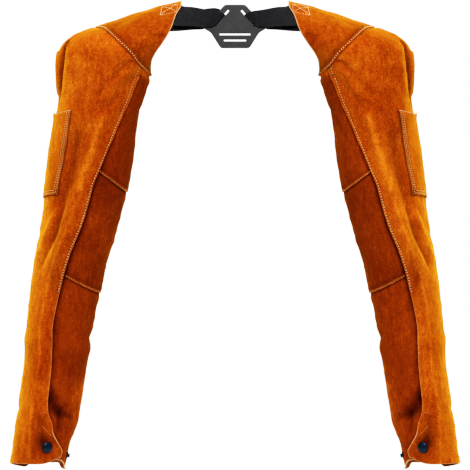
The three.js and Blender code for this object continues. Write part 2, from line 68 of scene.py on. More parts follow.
SECTIONS = np.array([
    # outX, outZ, inX, inZ, midY, near, far, crown, leanNear, leanFar
    [-81.8, 0.0, -126.0, -107.9, 2, 62, 60, 1.5, 0, 0],
    [-141.5, -16.6, -126.3, -109.4, 2, 72, 70, 1.7, 0, 0],
    [-201.5, -36.5, -126.6, -111.4, 2, 79, 78, 1.9, 0, 0],
    [-235.2, -49.8, -127.1, -114.2, 1, 81, 82, 2, 0, 0],
    [-257.0, -65.6, -127.7, -117.4, 0, 81, 84, 2, 0, 0],
    [-266.7, -88.1, -129.3, -122.6, 0, 80, 84, 2, 0, 0],
    [-266.7, -118.1, -134.2, -132.3, 0, 79, 83, 2, 0, 0],
    [-265.2, -149.6, -140.4, -154.1, 1, 78, 81, 2, 0, 0],
    [-269.7, -181.1, -146.7, -187.1, 2, 77, 79, 2, 0, 0],
    [-276.5, -223.0, -153.6, -242.5, 4, 75, 76, 2, 0, 0],
    [-282.5, -268.0, -162.0, -287.5, 6, 73, 74, 2, 0, 0],
    [-287.7, -313.0, -173.7, -331.8, 7, 71, 71, 2, 0, 0],
    [-296.4, -358.0, -188.4, -376.8, 7, 68, 69, 2, 0, 0],
    [-302.7, -403.0, -198.9, -421.0, 6, 66, 67, 2, 0, 0],
    [-308.4, -448.0, -209.4, -464.5, 4, 64, 65, 2, 0, 0],
    [-312.9, -493.0, -216.9, -508.0, 2, 62, 63, 2, 0, 0],
    [-315.9, -538.0, -222.9, -551.5, -1, 60, 60, 2, 0, 0],
    [-320.9, -583.0, -230.1, -595.8, -5, 57, 57, 2, 1, 1],
    [-324.9, -620.5, -235.5, -631.0, -9, 55, 54, 2, 3, 4],
    [-329.2, -655.0, -246.0, -661.0, -13, 53, 51, 2, 6, 8],
    [-334.2, -691.0, -253.2, -695.5, -17, 51, 49, 2, 9, 13],
], float)
LAST = len(SECTIONS) - 1

EDGES = np.array([
    # s, nearEdge, underEdge, farEdge (degrees: 0 outer side, 90 back, 180 body side)
    [0, 139, 130, -141], [2, 139.5, 130.5, -141], [3, 144, 135, -141], [4, 145.5, 136.5, -141], [5, 146, 137, -140],
    [6, 145, 136, -139], [6.5, 143, 134, -138.5], [7, 140.2, 131.4, -138], [7.6, 135.2, 126.6, -137.5], [8.3, 125.3, 116.8, -136.5],
    [8.8, 116.4, 107.7, -135.5], [9.43, 109.2, 101, -134], [10, 104, 95.8, -133], [10.8, 101.4, 93, -131.5], [11.45, 99.2, 91, -130],
    [12.2, 94, 85.5, -128.5], [12.8, 90, 81.5, -127.5], [13.5, 88, 79, -126], [14, 86.4, 77.5, -125], [14.6, 85.2, 76, -124],
    [15.3, 88.4, 78.5, -122.5], [16.3, 91.2, 81, -120.5], [17.1, 92.8, 83, -119], [17.6, 96, 85, -118.5], [18.1, 107, 88, -118],
    [18.55, 114.5, 90, -117], [19, 130, 92, -116], [19.4, 145.5, 94, -116], [19.65, 143.5, 94, -116], [20, 137, 94, -116],
], float)
SEAM_END = 13.55  # below this section the near edge is an open vent

CROSS_SEAMS = {"upper": (9.41, 102, 9.98, 180), "lower": (12.92, 82, 13.38, 180)}

# path in (section, degrees); height along the normal and width in mm; crisp adds a narrow crest to the fold, and
# above 1 it makes a pressed crease
FOLDS = [
    ("sleeve", 6.0, 14, 2.0, [[10.55, 84.6], [11.18, 82], [11.68, 79.3], [12.18, 75.3], [12.68, 71.3], [13.2, 68.7], [13.7, 67], [14.2, 66.2], [14.8, 67], [15.65, 69.5], [16.9, 69.5], [17.8, 67.5], [18.5, 71.5], [19.2, 78], [20, 84]]),
    ("sleeve", 6.6, 10, 0.25, [[7.9, 102], [8.28, 99.3], [8.72, 96], [9.18, 92.7], [9.68, 88.7], [10.15, 86.8]]),
    ("sleeve", -4.4, 13, 0.0, [[8.65, 70], [9.3, 71], [9.75, 71], [10.25, 67.5], [10.57, 66]]),
    ("sleeve", -5.0, 9, 0.2, [[10.85, 65.3], [11.18, 64.7], [11.62, 64], [11.88, 61.5], [12.18, 56], [12.4, 51], [12.7, 45]]),
    ("sleeve", -3.5, 12, 0.0, [[12.2, 92], [13.2, 80], [14.5, 76], [16.5, 81]]),
    ("sleeve", -5.0, 6, 0.4, [[3.0, 20], [3.6, 24.5], [4.3, 29], [4.8, 32.5], [5.2, 33.5], [5.6, 32], [6.1, 27.5], [6.8, 20], [7.4, 11]]),
    ("sleeve", -3.9, 6, 0.4, [[3.8, 26], [4.3, 29], [4.8, 32.5], [5.2, 33.5], [5.6, 32], [6.1, 27.5], [6.6, 22]]),
    ("sleeve", -3.9, 6, 0.4, [[4.4, 30], [4.8, 32.5], [5.2, 33.5], [5.6, 32], [6.0, 28.5]]),
    ("sleeve", 3.2, 8, 0.1, [[4.7, 16], [5.1, 18], [5.6, 17], [6.1, 12], [6.6, 4]]),
    ("sleeve", 3.0, 8, 0.2, [[4.4, 47], [5.0, 52], [5.6, 50], [6.6, 43]]),
    ("inner", -12.0, 15, 0.0, [[17.05, 96], [17.3, 106], [17.5, 117], [17.6, 126]]),
    ("inner", -4.2, 12, 0.0, [[17.64, 136], [17.7, 143], [17.74, 148]]),
    ("inner", -4.2, 9, 0.0, [[18.0, 123], [18.2, 125], [18.45, 131]]),
    ("sleeve", -3.9, 15, 0.0, [[18.0, 85], [18.5, 92], [18.9, 96.5], [19.3, 96]]),
    ("inner", -2.2, 8, 0.3, [[14.9, 205], [14.95, 180], [14.75, 150]]),
    ("inner", 1.6, 9, 0.0, [[15.3, 200], [15.35, 175], [15.1, 150]]),
    ("sleeve", -4.0, 10, 0.2, [[12.4, -110], [12.9, -75], [12.7, -45]]),
    ("sleeve", -4.0, 12, 0.1, [[6.2, -118], [7.6, -80], [9.0, -60]]),
    ("sleeve", 4.0, 11, 0.2, [[13.6, -70], [16, -62], [19.9, -66]]),
    ("cape", -3.0, 12, 0.1, [[0.4, 98], [1.05, 82]]),
    # finer folds of the leather
    ("sleeve", -3.3, 6.5, 0.4, [[2.6, 122], [4.55, 119.3], [5.67, 110.7], [6.35, 101.3], [6.83, 92.7]]),
    ("sleeve", 2.4, 9, 0.0, [[4.6, 126], [6.1, 112], [7.0, 97]]),
    ("sleeve", -2.2, 6, 0.3, [[4.6, 144], [6.15, 130.7], [6.83, 120], [7.35, 111.3]]),
    ("sleeve", 3.6, 12, 0.3, [[10.0, -86], [11.2, -80], [12.2, -73], [13.2, -68]]),
    ("sleeve", -3.6, 11, 0.1, [[9.0, -64], [10.3, -61], [11.5, -57], [12.3, -46]]),
    ("sleeve", -3.2, 7, 0.4, [[3.6, -126], [5.2, -116], [6.3, -100], [7.0, -82]]),
    ("sleeve", 2.4, 9, 0.0, [[4.8, -130], [6.4, -112], [7.4, -92]]),
    ("sleeve", -2.6, 7, 0.4, [[11.4, -120], [11.9, -98], [11.7, -74]]),
    ("sleeve", 1.8, 7, 0.0, [[11.2, 50], [11.9, 42], [12.5, 30]]),
    ("sleeve", -1.8, 8, 0.2, [[10.6, 60], [11.6, 30], [11.9, 5]]),
    ("sleeve", -1.6, 8, 0.3, [[14.95, 60], [15.05, 38], [14.9, 15]]),
    ("sleeve", 1.1, 8, 0.0, [[15.3, 58], [15.4, 36], [15.3, 18]]),
    ("inner", -1.8, 8, 0.2, [[10.8, 110], [11.3, 145], [11.2, 175]]),
    ("inner", 1.6, 8, 0.0, [[11.2, 112], [11.7, 145], [11.6, 175]]),
    ("inner", -2.0, 9, 0.2, [[15.6, 100], [16.2, 130], [16.4, 160]]),
    ("inner", 1.8, 9, 0.0, [[16.1, 105], [16.7, 132], [16.9, 160]]),
    ("inner", -1.6, 8, 0.2, [[6.8, 140], [7.4, 160], [7.3, 195]]),
    ("sleeve", -2.0, 10, 0.1, [[15.5, -30], [16.4, -70], [16.8, -105]]),
    ("sleeve", -2.0, 9, 0.1, [[17.6, 20], [18.0, -15], [17.8, -50]]),
    ("cape", 1.6, 12, 0.0, [[0.5, 20], [1.2, 40], [1.5, 75]]),
    ("cape", -1.8, 10, 0.1, [[0.9, 20], [1.6, 45], [1.75, 90]]),
    ("cape", -2.0, 12, 0.1, [[0.7, -30], [1.2, -70], [1.3, -110]]),
]


# ---------------------------------------------------------------- helpers
def smooth(t):
    c = np.clip(t, 0, 1)
    return c * c * (3 - 2 * c)


def gauss(x):
    return np.exp(-x * x)


def unit(v):
    return v / np.maximum(np.linalg.norm(v, axis=-1, keepdims=True), 1e-9)


def pchip(xs, ys):
    """Smooth curve through the points that doesn't overshoot."""
    xs, ys = np.asarray(xs, float), np.asarray(ys, float)
    h, m = np.diff(xs), np.diff(ys) / np.diff(xs)
    d = np.zeros(len(xs))
    d[0], d[-1] = m[0], m[-1]
    w1, w2 = 2 * h[1:] + h[:-1], h[1:] + 2 * h[:-1]
    same = m[:-1] * m[1:] > 0
    safe = np.where(same, 1, 0)
    d[1:-1] = np.where(same, (w1 + w2) / (w1 / np.where(safe, m[:-1], 1) + w2 / np.where(safe, m[1:], 1)), 0)

    def at(x):
        x = np.clip(np.asarray(x, float), xs[0], xs[-1])
        k = np.clip(np.searchsorted(xs, x, side="right") - 1, 0, len(h) - 1)
        t = (x - xs[k]) / h[k]
        return (ys[k] * (1 + 2 * t) * (1 - t) ** 2 + d[k] * h[k] * t * (1 - t) ** 2
                + ys[k + 1] * t * t * (3 - 2 * t) + d[k + 1] * h[k] * t * t * (t - 1))

    return at


near_edge, under_edge, far_edge = (pchip(EDGES[:, 0], EDGES[:, k]) for k in (1, 2, 3))

_dirs = np.random.RandomState(11).normal(size=(512, 3))
_dirs /= np.linalg.norm(_dirs, axis=1, keepdims=True)
_perm = np.random.RandomState(12).permutation(512)


def noise3(p, seed=0):
    """Gradient noise, about -0.7 to 0.7."""
    p = np.asarray(p, float)
    i = np.floor(p).astype(int)
    f = p - i
    w = f * f * f * (f * (f * 6 - 15) + 10)
    out = np.zeros(p.shape[:-1])
    for dx in (0, 1):
        for dy in (0, 1):
            for dz in (0, 1):
                c = i + np.array([dx, dy, dz])
                k = _perm[(_perm[(_perm[(c[..., 0] + 31 * seed) & 511] + c[..., 1]) & 511] + c[..., 2]) & 511]
                g = np.sum(_dirs[k] * (f - np.array([dx, dy, dz])), axis=-1)
                out += g * np.where(dx, w[..., 0], 1 - w[..., 0]) * np.where(dy, w[..., 1], 1 - w[..., 1]) * np.where(dz, w[..., 2], 1 - w[..., 2])
    return out


# ---------------------------------------------------------------- sleeve surface
def section_at(s):
    s = np.asarray(s, float)
    k = np.clip(np.floor(s).astype(int), 0, LAST - 1)
    t = (s - k)[..., None]
    row = lambda i: SECTIONS[np.clip(i, 0, LAST)]
    p0, p1, p2, p3 = row(k - 1), row(k), row(k + 1), row(k + 2)
    m1, m2, d = (p2 - p0) / 2, (p3 - p1) / 2, p2 - p1
    return p1 + t * (m1 + t * (3 * d - 2 * m1 - m2 + t * (m1 + m2 - 2 * d)))


def base_point(s, deg):
    s, deg = np.broadcast_arrays(np.asarray(s, float), np.asarray(deg, float))
    ox, oz, ix, iz, mid_y, near, far, crown, lean_near, lean_far = np.moveaxis(section_at(s), -1, 0)
    a = np.radians(deg)
    c, n = np.cos(a), np.sin(a)
    e = np.where(c > 0, 2 / crown, 1.0)
    u, v = np.sign(c) * np.abs(c) ** e, np.sign(n) * np.abs(n) ** e
    depth = np.where(v > 0, near, far)
    x = (ox + ix) / 2 + (ox - ix) / 2 * u
    z = (oz + iz) / 2 + (oz - iz) / 2 * u
    t, w = (1 - u) / 2, np.maximum(0, 1 - s / 2) ** 2
    scoop = w * (4.2 * gauss((t - 0.1) / 0.1) - 5.0 * gauss((t - 0.82) / 0.17) + 7.6 * gauss((t - 0.45) / 0.3) * smooth(v / 0.45))
    back = w * np.maximum(0, -v) * 10
    tip = np.tan(np.radians(np.where(v > 0, lean_near, lean_far)))
    return np.stack([x + scoop - back, mid_y - depth * v, z + depth * v * tip], -1)


def normal_at(s, deg):
    s, deg = np.broadcast_arrays(np.asarray(s, float), np.asarray(deg, float))
    along = base_point(np.minimum(LAST, s + 0.12), deg) - base_point(np.maximum(0, s - 0.12), deg)
    return unit(np.cross(along, base_point(s, deg + 3) - base_point(s, deg - 3)))


def fold_height(s, deg, kind):
    h = np.zeros(np.shape(s))
    turn = np.mod(deg, 360)
    for on, height, width, crisp, path in FOLDS:
        if (kind != "cape") if on == "cape" else (kind == "cape" or (on == "inner" and kind != "inner")):
            continue
        best = np.full(np.shape(s), 1e9)
        for (s1, d1), (s2, d2) in zip(path, path[1:]):
            qx, qy = (s2 - s1) * PITCH, (d2 - d1) * DEGREE_RUN
            for d in (turn, turn - 360):
                px, py = (s - s1) * PITCH, (d - d1) * DEGREE_RUN
                t = np.clip((px * qx + py * qy) / (qx * qx + qy * qy), 0, 1)
                best = np.minimum(best, np.hypot(px - t * qx, py - t * qy))
        if crisp > 1:
            h += height * np.exp((1.0 - np.sqrt(best * best + 1.0)) / width)
        else:
            h += height * ((1 - crisp) * gauss(best / width) + crisp * gauss(best / (0.42 * width)))
    return h


def unevenness(p):
    """Slack of the leather, the same for all layers that lie on each other."""
    h = 2.6 * noise3(p / 88.0, 1) + 1.5 * noise3(p / 41.0, 2) + 0.55 * noise3(p / 19.0, 3) + 0.22 * noise3(p / 9.0, 4)
    crumple = 1 - np.abs(noise3(p / np.array([36.0, 36.0, 26.0]), 5)) * 3.2
    return h + 0.7 * np.clip(crumple, 0, 1) ** 3 - 0.2


def run_per_section(s, deg):
    a, b = np.minimum(LAST, np.asarray(s, float) + 0.1), np.maximum(0, np.asarray(s, float) - 0.1)
    return np.linalg.norm(base_point(a, deg) - base_point(b, deg), axis=-1) / (a - b)


def degrees_per_mm(s, deg):
    return 2.0 / np.maximum(np.linalg.norm(base_point(s, deg + 1.0) - base_point(s, deg - 1.0), axis=-1), 0.2)


def cross_seam(seam, deg):
    s_near, a_near, s_body, a_body = CROSS_SEAMS[seam]
    c_near, c_body = math.cos(math.radians(a_near)), math.cos(math.radians(a_body))
    return s_near + (s_body - s_near) * (c_near - np.cos(np.radians(deg))) / (c_near - c_body)


def cape_lap(deg):
    return np.minimum(0.4, LAP / run_per_section(CAPE_SEAM, deg))


def seam_lap(s, deg):
    return LAP / run_per_section(s, deg)


def hem_rise(deg, kind="outer"):
    if kind == "outer":
        return 0.40 * gauss((deg - 141) / 23) - 0.04 * gauss((deg - 65) / 30) + 0.30 * smooth((-50 - deg) / 25)
    return 0.31 * gauss((deg - 143) / 29) - 0.24 * gauss((deg - 197) / 9) + 0.30 * smooth((deg - 212) / 20)


def with_hem(s, deg, kind="outer"):
    return np.where(s <= 19, s, 19 + (s - 19) * (1 - hem_rise(deg, kind)))


def cape_seam(deg):
    """Section at which the cape ends; it hangs a little lower over the shoulder ridge and towards the armpit."""
    d = np.mod(deg + 180, 360) - 180
    return CAPE_SEAM + 0.18 * gauss((d - 8) / 22) + 0.31 * smooth((d - 106) / 34)


# ---------------------------------------------------------------- stitch rows, as (section, degrees) paths
def seam_in(s):
    """Distance of the stitch row from the edge of the two long seams; the edge is left wider on the upper arm."""
    return 2.2 + 4.4 * (1 - smooth((s - 6.2) / 3.2)) * smooth((s - 1.4) / 2.0)


def sewn_paths():
    rows = {}
    s = np.linspace(2.2, SEAM_END, 400)
    rows["near_seam"] = (s, near_edge(s) - seam_in(s) * degrees_per_mm(s, near_edge(s)))
    s = np.linspace(2.2, 19.75, 560)
    rows["far_seam"] = (s, far_edge(s) + seam_in(s) * degrees_per_mm(s, far_edge(s)))
    d = np.linspace(-164, 164, 500)
    rows["cape_seam"] = (cape_seam(d) - SEW_IN / run_per_section(CAPE_SEAM, d), d)
    for seam, mid in (("upper", 9.7), ("lower", 13.1)):
        d = np.linspace(near_edge(mid) + 3, far_edge(mid) + 357, 300)
        s = cross_seam(seam, d)
        rows[seam + "_cross"] = (s - SEW_IN / run_per_section(s, d), d)
    return rows


SEWN = sewn_paths()
_dent_points = np.concatenate([base_point(s, d)[::2] for s, d in SEWN.values()])


def nearest(p, points):
    flat = p.reshape(-1, 3)
    out = np.empty(len(flat))
    for i in range(0, len(flat), 1500):
        part = flat[i:i + 1500]
        d2 = (part ** 2).sum(1)[:, None] + (points ** 2).sum(1)[None] - 2 * part @ points.T
        out[i:i + 1500] = np.sqrt(np.maximum(d2.min(1), 0))
    return out.reshape(p.shape[:-1])


def skin(s, deg, offset, kind):
    """Points at a distance outside the sleeve surface, with folds, slack and the pull of the stitch rows."""
    p, n = base_point(s, deg), normal_at(s, deg)
    sewn = nearest(p, _dent_points)
    pull = -0.55 * gauss(sewn / 1.5) + 0.35 * gauss((sewn - 5.0) / 3.0)
    lift = offset + fold_height(s, deg, kind) + unevenness(p) + pull
    return p + n * lift[..., None]


# ---------------------------------------------------------------- grids with fine rows along the edges
FINE = [0.0, 0.6, 1.3, 2.1, 2.8, 3.4, 4.0, 4.6, 5.3, 6.2, 7.6, 9.6, 12.2]
SOFT = [0.0, 0.9, 2.4, 4.6, 7.4, 10.8]


def spaced(lo, hi, rate_lo, rate_hi, steps_lo, steps_hi, n):
    """Values from lo to hi: fine steps in mm at both ends (rate turns mm into the value's unit), n even steps between."""
    out = [lo + k * rate_lo for k in steps_lo]
    a, b = out[-1], hi - steps_hi[-1] * rate_hi
    out += [a + (b - a) * k / n for k in range(1, n)]
    out += [hi - k * rate_hi for k in reversed(steps_hi)]
    return out


def make_grid(rows_of, columns_of, rows, columns):
    """rows_of(column of degrees, k) -> s of all rows; columns_of(row of s, k) -> degrees of all columns."""
    s = np.repeat(np.array(rows_of(np.array(90.0)), float).reshape(-1, 1), columns, 1)
    deg = None
    for _ in range(3):
        deg = np.stack([np.asarray(columns_of(s[:, j]))[j] for j in range(columns)], 1)
        s = np.stack([np.asarray(rows_of(deg[i, :]))[i] for i in range(rows)], 0)
    return s, deg


FINE_NEAR = [0.0, 0.5, 1.1, 1.7, 2.3, 3.0, 4.0, 5.6, 7.6]
_ridge = FOLDS[0][4]
ridge_deg = pchip([0, 2, 4, 6, 7, 7.6, 8.1, 8.7, 9.75] + [r[0] for r in _ridge], [119, 119.5, 123, 121, 114, 107, 101, 96.7, 90] + [r[1] for r in _ridge])


def outer_columns(s):
    """Fine columns at both edges and on the pressed crease."""
    lo, hi, mid = far_edge(s), near_edge(s), ridge_deg(s)
    r_lo, r_hi, r_mid = degrees_per_mm(s, lo), degrees_per_mm(s, hi), degrees_per_mm(s, mid)
    return (spaced(lo, -16.0 + 0 * s, r_lo, r_mid, FINE, [0.0], 30) + spaced(-14.5 + 0 * s, mid - 4.6 * r_mid, r_mid, r_mid, [0.0], [0.0], 70) + [mid + k * r_mid for k in (-3.2, -2.1, -1.2, -0.4, 0.4, 1.2, 2.1, 3.2)]
            + spaced(mid + 4.6 * r_mid, hi, r_mid, r_hi, [0.0], FINE_NEAR, 12))


def inner_columns(s):
    lo, hi = under_edge(s), far_edge(s) + 360 + LAP / DEGREE_RUN
    return spaced(lo, hi, degrees_per_mm(s, lo), degrees_per_mm(s, hi), [0, 2, 4, 5.5, 7, 8.5, 10, 12, 14.5], [0, 2, 4, 5.5, 7, 8.5, 10, 12, 14.5], 40)


def drop_under_cape(s, deg):
    run = run_per_section(CAPE_SEAM, deg)
    return -DROP * smooth(1 - ((s - cape_seam(deg)) * run - 0.8) / np.maximum(3, np.minimum(JOGGLE, run * 2)))


def drop_under_outer(s, deg):
    near = (deg - near_edge(s)) / degrees_per_mm(s, near_edge(s))
    far = (far_edge(s) + 360 - deg) / degrees_per_mm(s, far_edge(s))
    tab = 1.2 * smooth((s - 17.6) / 0.5)
    return -(DROP + tab) * smooth(1 - (near - 0.8) / JOGGLE) - DROP * smooth(1 - (far - 0.8) / JOGGLE)


def drop_under_seam(seam, s, deg):
    return -DROP * smooth(1 - ((s - cross_seam(seam, deg)) * PITCH - 0.8) / JOGGLE)


def edge_curl(dist, amount, reach=7.0):
    return amount * gauss(dist / reach)


# ---------------------------------------------------------------- meshes
MATERIALS = {}


def mesh_object(name, verts, faces, face_material, materials, uv=None, wear=None, flip=False, smooth_faces=True):
    """verts in millimetres; flip mirrors the piece to the other side of the body."""
    v = np.array(verts, float) * 0.001
    if flip:
        v = v * np.array([-1.0, 1.0, 1.0])
        faces = [tuple(reversed(f)) for f in faces]
    mesh = bpy.data.meshes.new(name)
    mesh.from_pydata(v.tolist(), [], faces)
    for m in materials:
        mesh.materials.append(MATERIALS[m])
    mesh.polygons.foreach_set("material_index", np.asarray(face_material, np.int32))
    mesh.polygons.foreach_set("use_smooth", np.full(len(faces), smooth_faces))
    loops = np.empty(len(mesh.loops), np.int32)
    mesh.loops.foreach_get("vertex_index", loops)
    if uv is not None:
        layer = mesh.uv_layers.new(name="UVMap")
        layer.data.foreach_set("uv", (np.asarray(uv, np.float32) * 0.001)[loops].ravel())
    if wear is not None:
        # colour attribute: pale cut edges, painted highlight, painted shade and painted warm rim light
        colour = mesh.color_attributes.new("wear", "FLOAT_COLOR", "POINT")
        colour.data.foreach_set("color", np.asarray(wear, np.float32).ravel())
    mesh.update()
    obj = bpy.data.objects.new(name, mesh)
    bpy.context.scene.collection.objects.link(obj)
    return obj


def sheet_mesh(outer, inner, bulge):
    """Two skins of a sheet joined by a rounded rim. Returns vertices, faces and a mark for rim faces."""
    rows, cols = outer.shape[:2]
    half = rows * cols
    at = lambda i, j: i * cols + j
    faces, mark = [], []
    for i in range(rows - 1):
        for j in range(cols - 1):
            faces.append((at(i, j), at(i + 1, j), at(i + 1, j + 1), at(i, j + 1)))
            faces.append((half + at(i, j), half + at(i, j + 1), half + at(i + 1, j + 1), half + at(i + 1, j)))
            mark += [0, 2]
    loop = [(0, j) for j in range(cols - 1)] + [(i, cols - 1) for i in range(rows - 1)]
    loop += [(rows - 1, j) for j in range(cols - 1, 0, -1)] + [(i, 0) for i in range(rows - 1, 0, -1)]
    rim = []
    for i, j in loop:
        mid = (outer[i, j] + inner[i, j]) / 2
        k = (min(max(i, 1), rows - 2), min(max(j, 1), cols - 2))
        away = mid - (outer[k] + inner[k]) / 2
        rim.append(mid + away / max(np.linalg.norm(away), 1e-6) * bulge)
    start = 2 * half
    for n, (i, j) in enumerate(loop):
        i2, j2 = loop[(n + 1) % len(loop)]
        a, b, m, m2 = at(i, j), at(i2, j2), start + n, start + (n + 1) % len(loop)
        faces += [(a, b, m2, m), (m, m2, half + b, half + a)]
        mark += [1, 1]
    verts = np.concatenate([outer.reshape(-1, 3), inner.reshape(-1, 3), np.array(rim)])
    return verts, faces, mark, loop


def add_sheet(name, node, s, deg, offset, kind, materials, thickness=LEATHER, wear=None, sewn=None, inside_shade=None):
    """A leather panel for both sides of the body. materials: face, bare cut edge, flesh side, sewn edge."""
    outer = skin(s, deg, offset, kind)
    inner = skin(s, deg, offset - thickness, kind)
    verts, faces, mark, loop = sheet_mesh(outer, inner, 0.3)
    along = np.concatenate([np.zeros((1, s.shape[1])), np.cumsum(np.linalg.norm(np.diff(outer, axis=0), axis=-1), 0)])
    across = np.concatenate([np.zeros((s.shape[0], 1)), np.cumsum(np.linalg.norm(np.diff(outer, axis=1), axis=-1), 1)], 1)
    uv = np.stack([across - across[:, across.shape[1] // 2][:, None], along], -1).reshape(-1, 2)
    rim_at = np.array([i * s.shape[1] + j for i, j in loop])
    if sewn is not None:
        mark[-2 * len(loop):] = np.repeat(np.where(sewn.ravel()[rim_at], 3, 1), 2).tolist()
    uv = np.concatenate([uv, uv, uv[rim_at]])
    w = np.zeros(s.shape + (4,)) if wear is None else wear
    w = w.reshape(-1, 4)
    # painted shade on the flesh side inside the sleeve, given per vertex or a constant
    flesh = np.zeros_like(w)
    flesh[:, 2] = 0.1 if inside_shade is None else inside_shade.ravel()
    w = np.concatenate([w, flesh, w[rim_at]])
    made = []
    for side, flip in (("left", False), ("right", True)):
        obj = mesh_object(f"{side}_{name}", verts, faces, mark, materials, uv, w, flip)
        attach(obj, "root")
        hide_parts(f"{side}_{node}")
        made.append(obj)
    return made, outer


def painted_fold_shade(s, deg, kind):
    """Painted shade at the bottom of the deeper folds."""
    dark = np.zeros(np.shape(s))
    for on, height, width, crisp, path in FOLDS:
        if height <= -4 and not ((kind != "cape") if on == "cape" else (kind == "cape" or (on == "inner" and kind != "inner"))):
            dark = np.maximum(dark, 0.06 * min(-height, 10) * gauss(path_distance(s, deg, path) / (0.75 * width)))
    return dark


def edges_and_painted_light_of(s, edge=None, crest=None, shade=None, painted_warm_light=None):
    # channels in order: pale cut edges, painted highlight, painted shade, painted warm rim light
    w = np.zeros(s.shape + (4,))
    for k, part in enumerate((edge, crest, shade, painted_warm_light)):
        if part is not None:
            w[..., k] = np.clip(part, 0, 1)
    return w


def path_distance(s, deg, path):
    best = np.full(s.shape, 1e9)
    for (s1, d1), (s2, d2) in zip(path, path[1:]):
        qx, qy = (s2 - s1) * PITCH, (d2 - d1) * DEGREE_RUN
        px, py = (s - s1) * PITCH, (deg - d1) * DEGREE_RUN
        t = np.clip((px * qx + py * qy) / (qx * qx + qy * qy), 0, 1)
        best = np.minimum(best, np.hypot(px - t * qx, py - t * qy))
    return best


def thread(path, normals, pitch, length, radius, sink=0.25, sides=6):
    """Separate stitches along a path on the leather: verts and faces."""
    step = np.linalg.norm(np.diff(path, axis=0), axis=1)
    run = np.concatenate([[0], np.cumsum(step)])
    count = max(1, int(run[-1] / pitch))
    centre = (np.arange(count) + 0.5) * run[-1] / count
    f = np.array([-0.5, -0.42, -0.2, 0.2, 0.42, 0.5])
    high = np.array([-0.75, 0.05, 0.55, 0.55, 0.05, -0.75]) * radius - sink * 0
    thick = np.array([0.45, 0.85, 1.0, 1.0, 0.85, 0.45]) * radius
    at = np.clip(centre[:, None] + f[None] * length, 0, run[-1])
    pos = np.stack([np.interp(at, run, path[:, k]) for k in range(3)], -1)
    nor = unit(np.stack([np.interp(at, run, normals[:, k]) for k in range(3)], -1))
    tan = unit(pos[:, -1:] - pos[:, :1])
    side = unit(np.cross(np.broadcast_to(tan, nor.shape), nor))
    skew = np.random.RandomState(count).normal(0, 0.12, count)[:, None] * f[None] * length
    pos = pos + nor * high[None, :, None] + side * skew[..., None]
    a = np.arange(sides) * 2 * math.pi / sides
    ring = (pos[:, :, None] + side[:, :, None] * (np.cos(a)[None, None, :, None] * thick[None, :, None, None])
            + nor[:, :, None] * (np.sin(a)[None, None, :, None] * thick[None, :, None, None] * 0.8))
    faces = []
    rings = len(f)
    for c in range(count):
        o = c * rings * sides
        for r in range(rings - 1):
            for k in range(sides):
                k2 = (k + 1) % sides
                faces.append((o + r * sides + k, o + r * sides + k2, o + (r + 1) * sides + k2, o + (r + 1) * sides + k))
        faces.append(tuple(o + k for k in reversed(range(sides))))
        faces.append(tuple(o + (rings - 1) * sides + k for k in range(sides)))
    return ring.reshape(-1, 3), faces


THREADS = {}


def sew(group, s, deg, offset, kind, pitch=4.2, length=2.3, radius=0.54):
    s, deg = np.asarray(s, float), np.asarray(deg, float)
    p = skin(s, deg, offset, kind)
    THREADS.setdefault(group, []).append(thread(p, normal_at(s, deg), pitch, length, radius))


def joined(parts):
    verts, faces, n = [], [], 0
    for v, f in parts:
        verts.append(v)
        faces += [tuple(i + n for i in face) for face in f]
        n += len(v)
    return np.concatenate(verts), faces


# ---------------------------------------------------------------- materials
def new_material(name):
    m = bpy.data.materials.new(name)
    m.use_nodes = True
    m.node_tree.nodes.clear()
    MATERIALS[name] = m
    nodes, links = m.node_tree.nodes, m.node_tree.links
    out = nodes.new("ShaderNodeOutputMaterial")
    bsdf = nodes.new("ShaderNodeBsdfPrincipled")
    links.new(bsdf.outputs[0], out.inputs[0])
    return m, nodes, links, bsdf


def noise_node(nodes, links, coord, scale, detail=3.0, rough=0.55, distortion=0.0):
    n = nodes.new("ShaderNodeTexNoise")
    n.inputs["Scale"].default_value = scale
    n.inputs["Detail"].default_value = detail
    n.inputs["Roughness"].default_value = rough
    n.inputs["Distortion"].default_value = distortion
    links.new(coord, n.inputs["Vector"])
    return n.outputs["Fac"]


def math_node(nodes, links, operation, a, b):
    n = nodes.new("ShaderNodeMath")
    n.operation = operation
    for k, v in enumerate((a, b)):
        if isinstance(v, (int, float)):
            n.inputs[k].default_value = v
        else:
            links.new(v, n.inputs[k])
    return n.outputs[0]


def ramp_node(nodes, links, fac, stops):
    n = nodes.new("ShaderNodeValToRGB")
    while len(n.color_ramp.elements) < len(stops):
        n.color_ramp.elements.new(0.5)
    for e, (pos, colour) in zip(n.color_ramp.elements, stops):
        e.position = pos
        e.color = (*colour, 1.0)
    links.new(fac, n.inputs[0])
    return n.outputs[0]


def mix_node(nodes, links, fac, a, b, blend="MIX"):
    n = nodes.new("ShaderNodeMix")
    n.data_type = "RGBA"
    n.blend_type = blend
    for socket, v in ((n.inputs[0], fac), (n.inputs[6], a), (n.inputs[7], b)):
        if isinstance(v, (int, float)):
            socket.default_value = v
        elif isinstance(v, tuple):
            socket.default_value = (*v, 1.0)
        else:
            links.new(v, socket)
    return n.outputs[2]


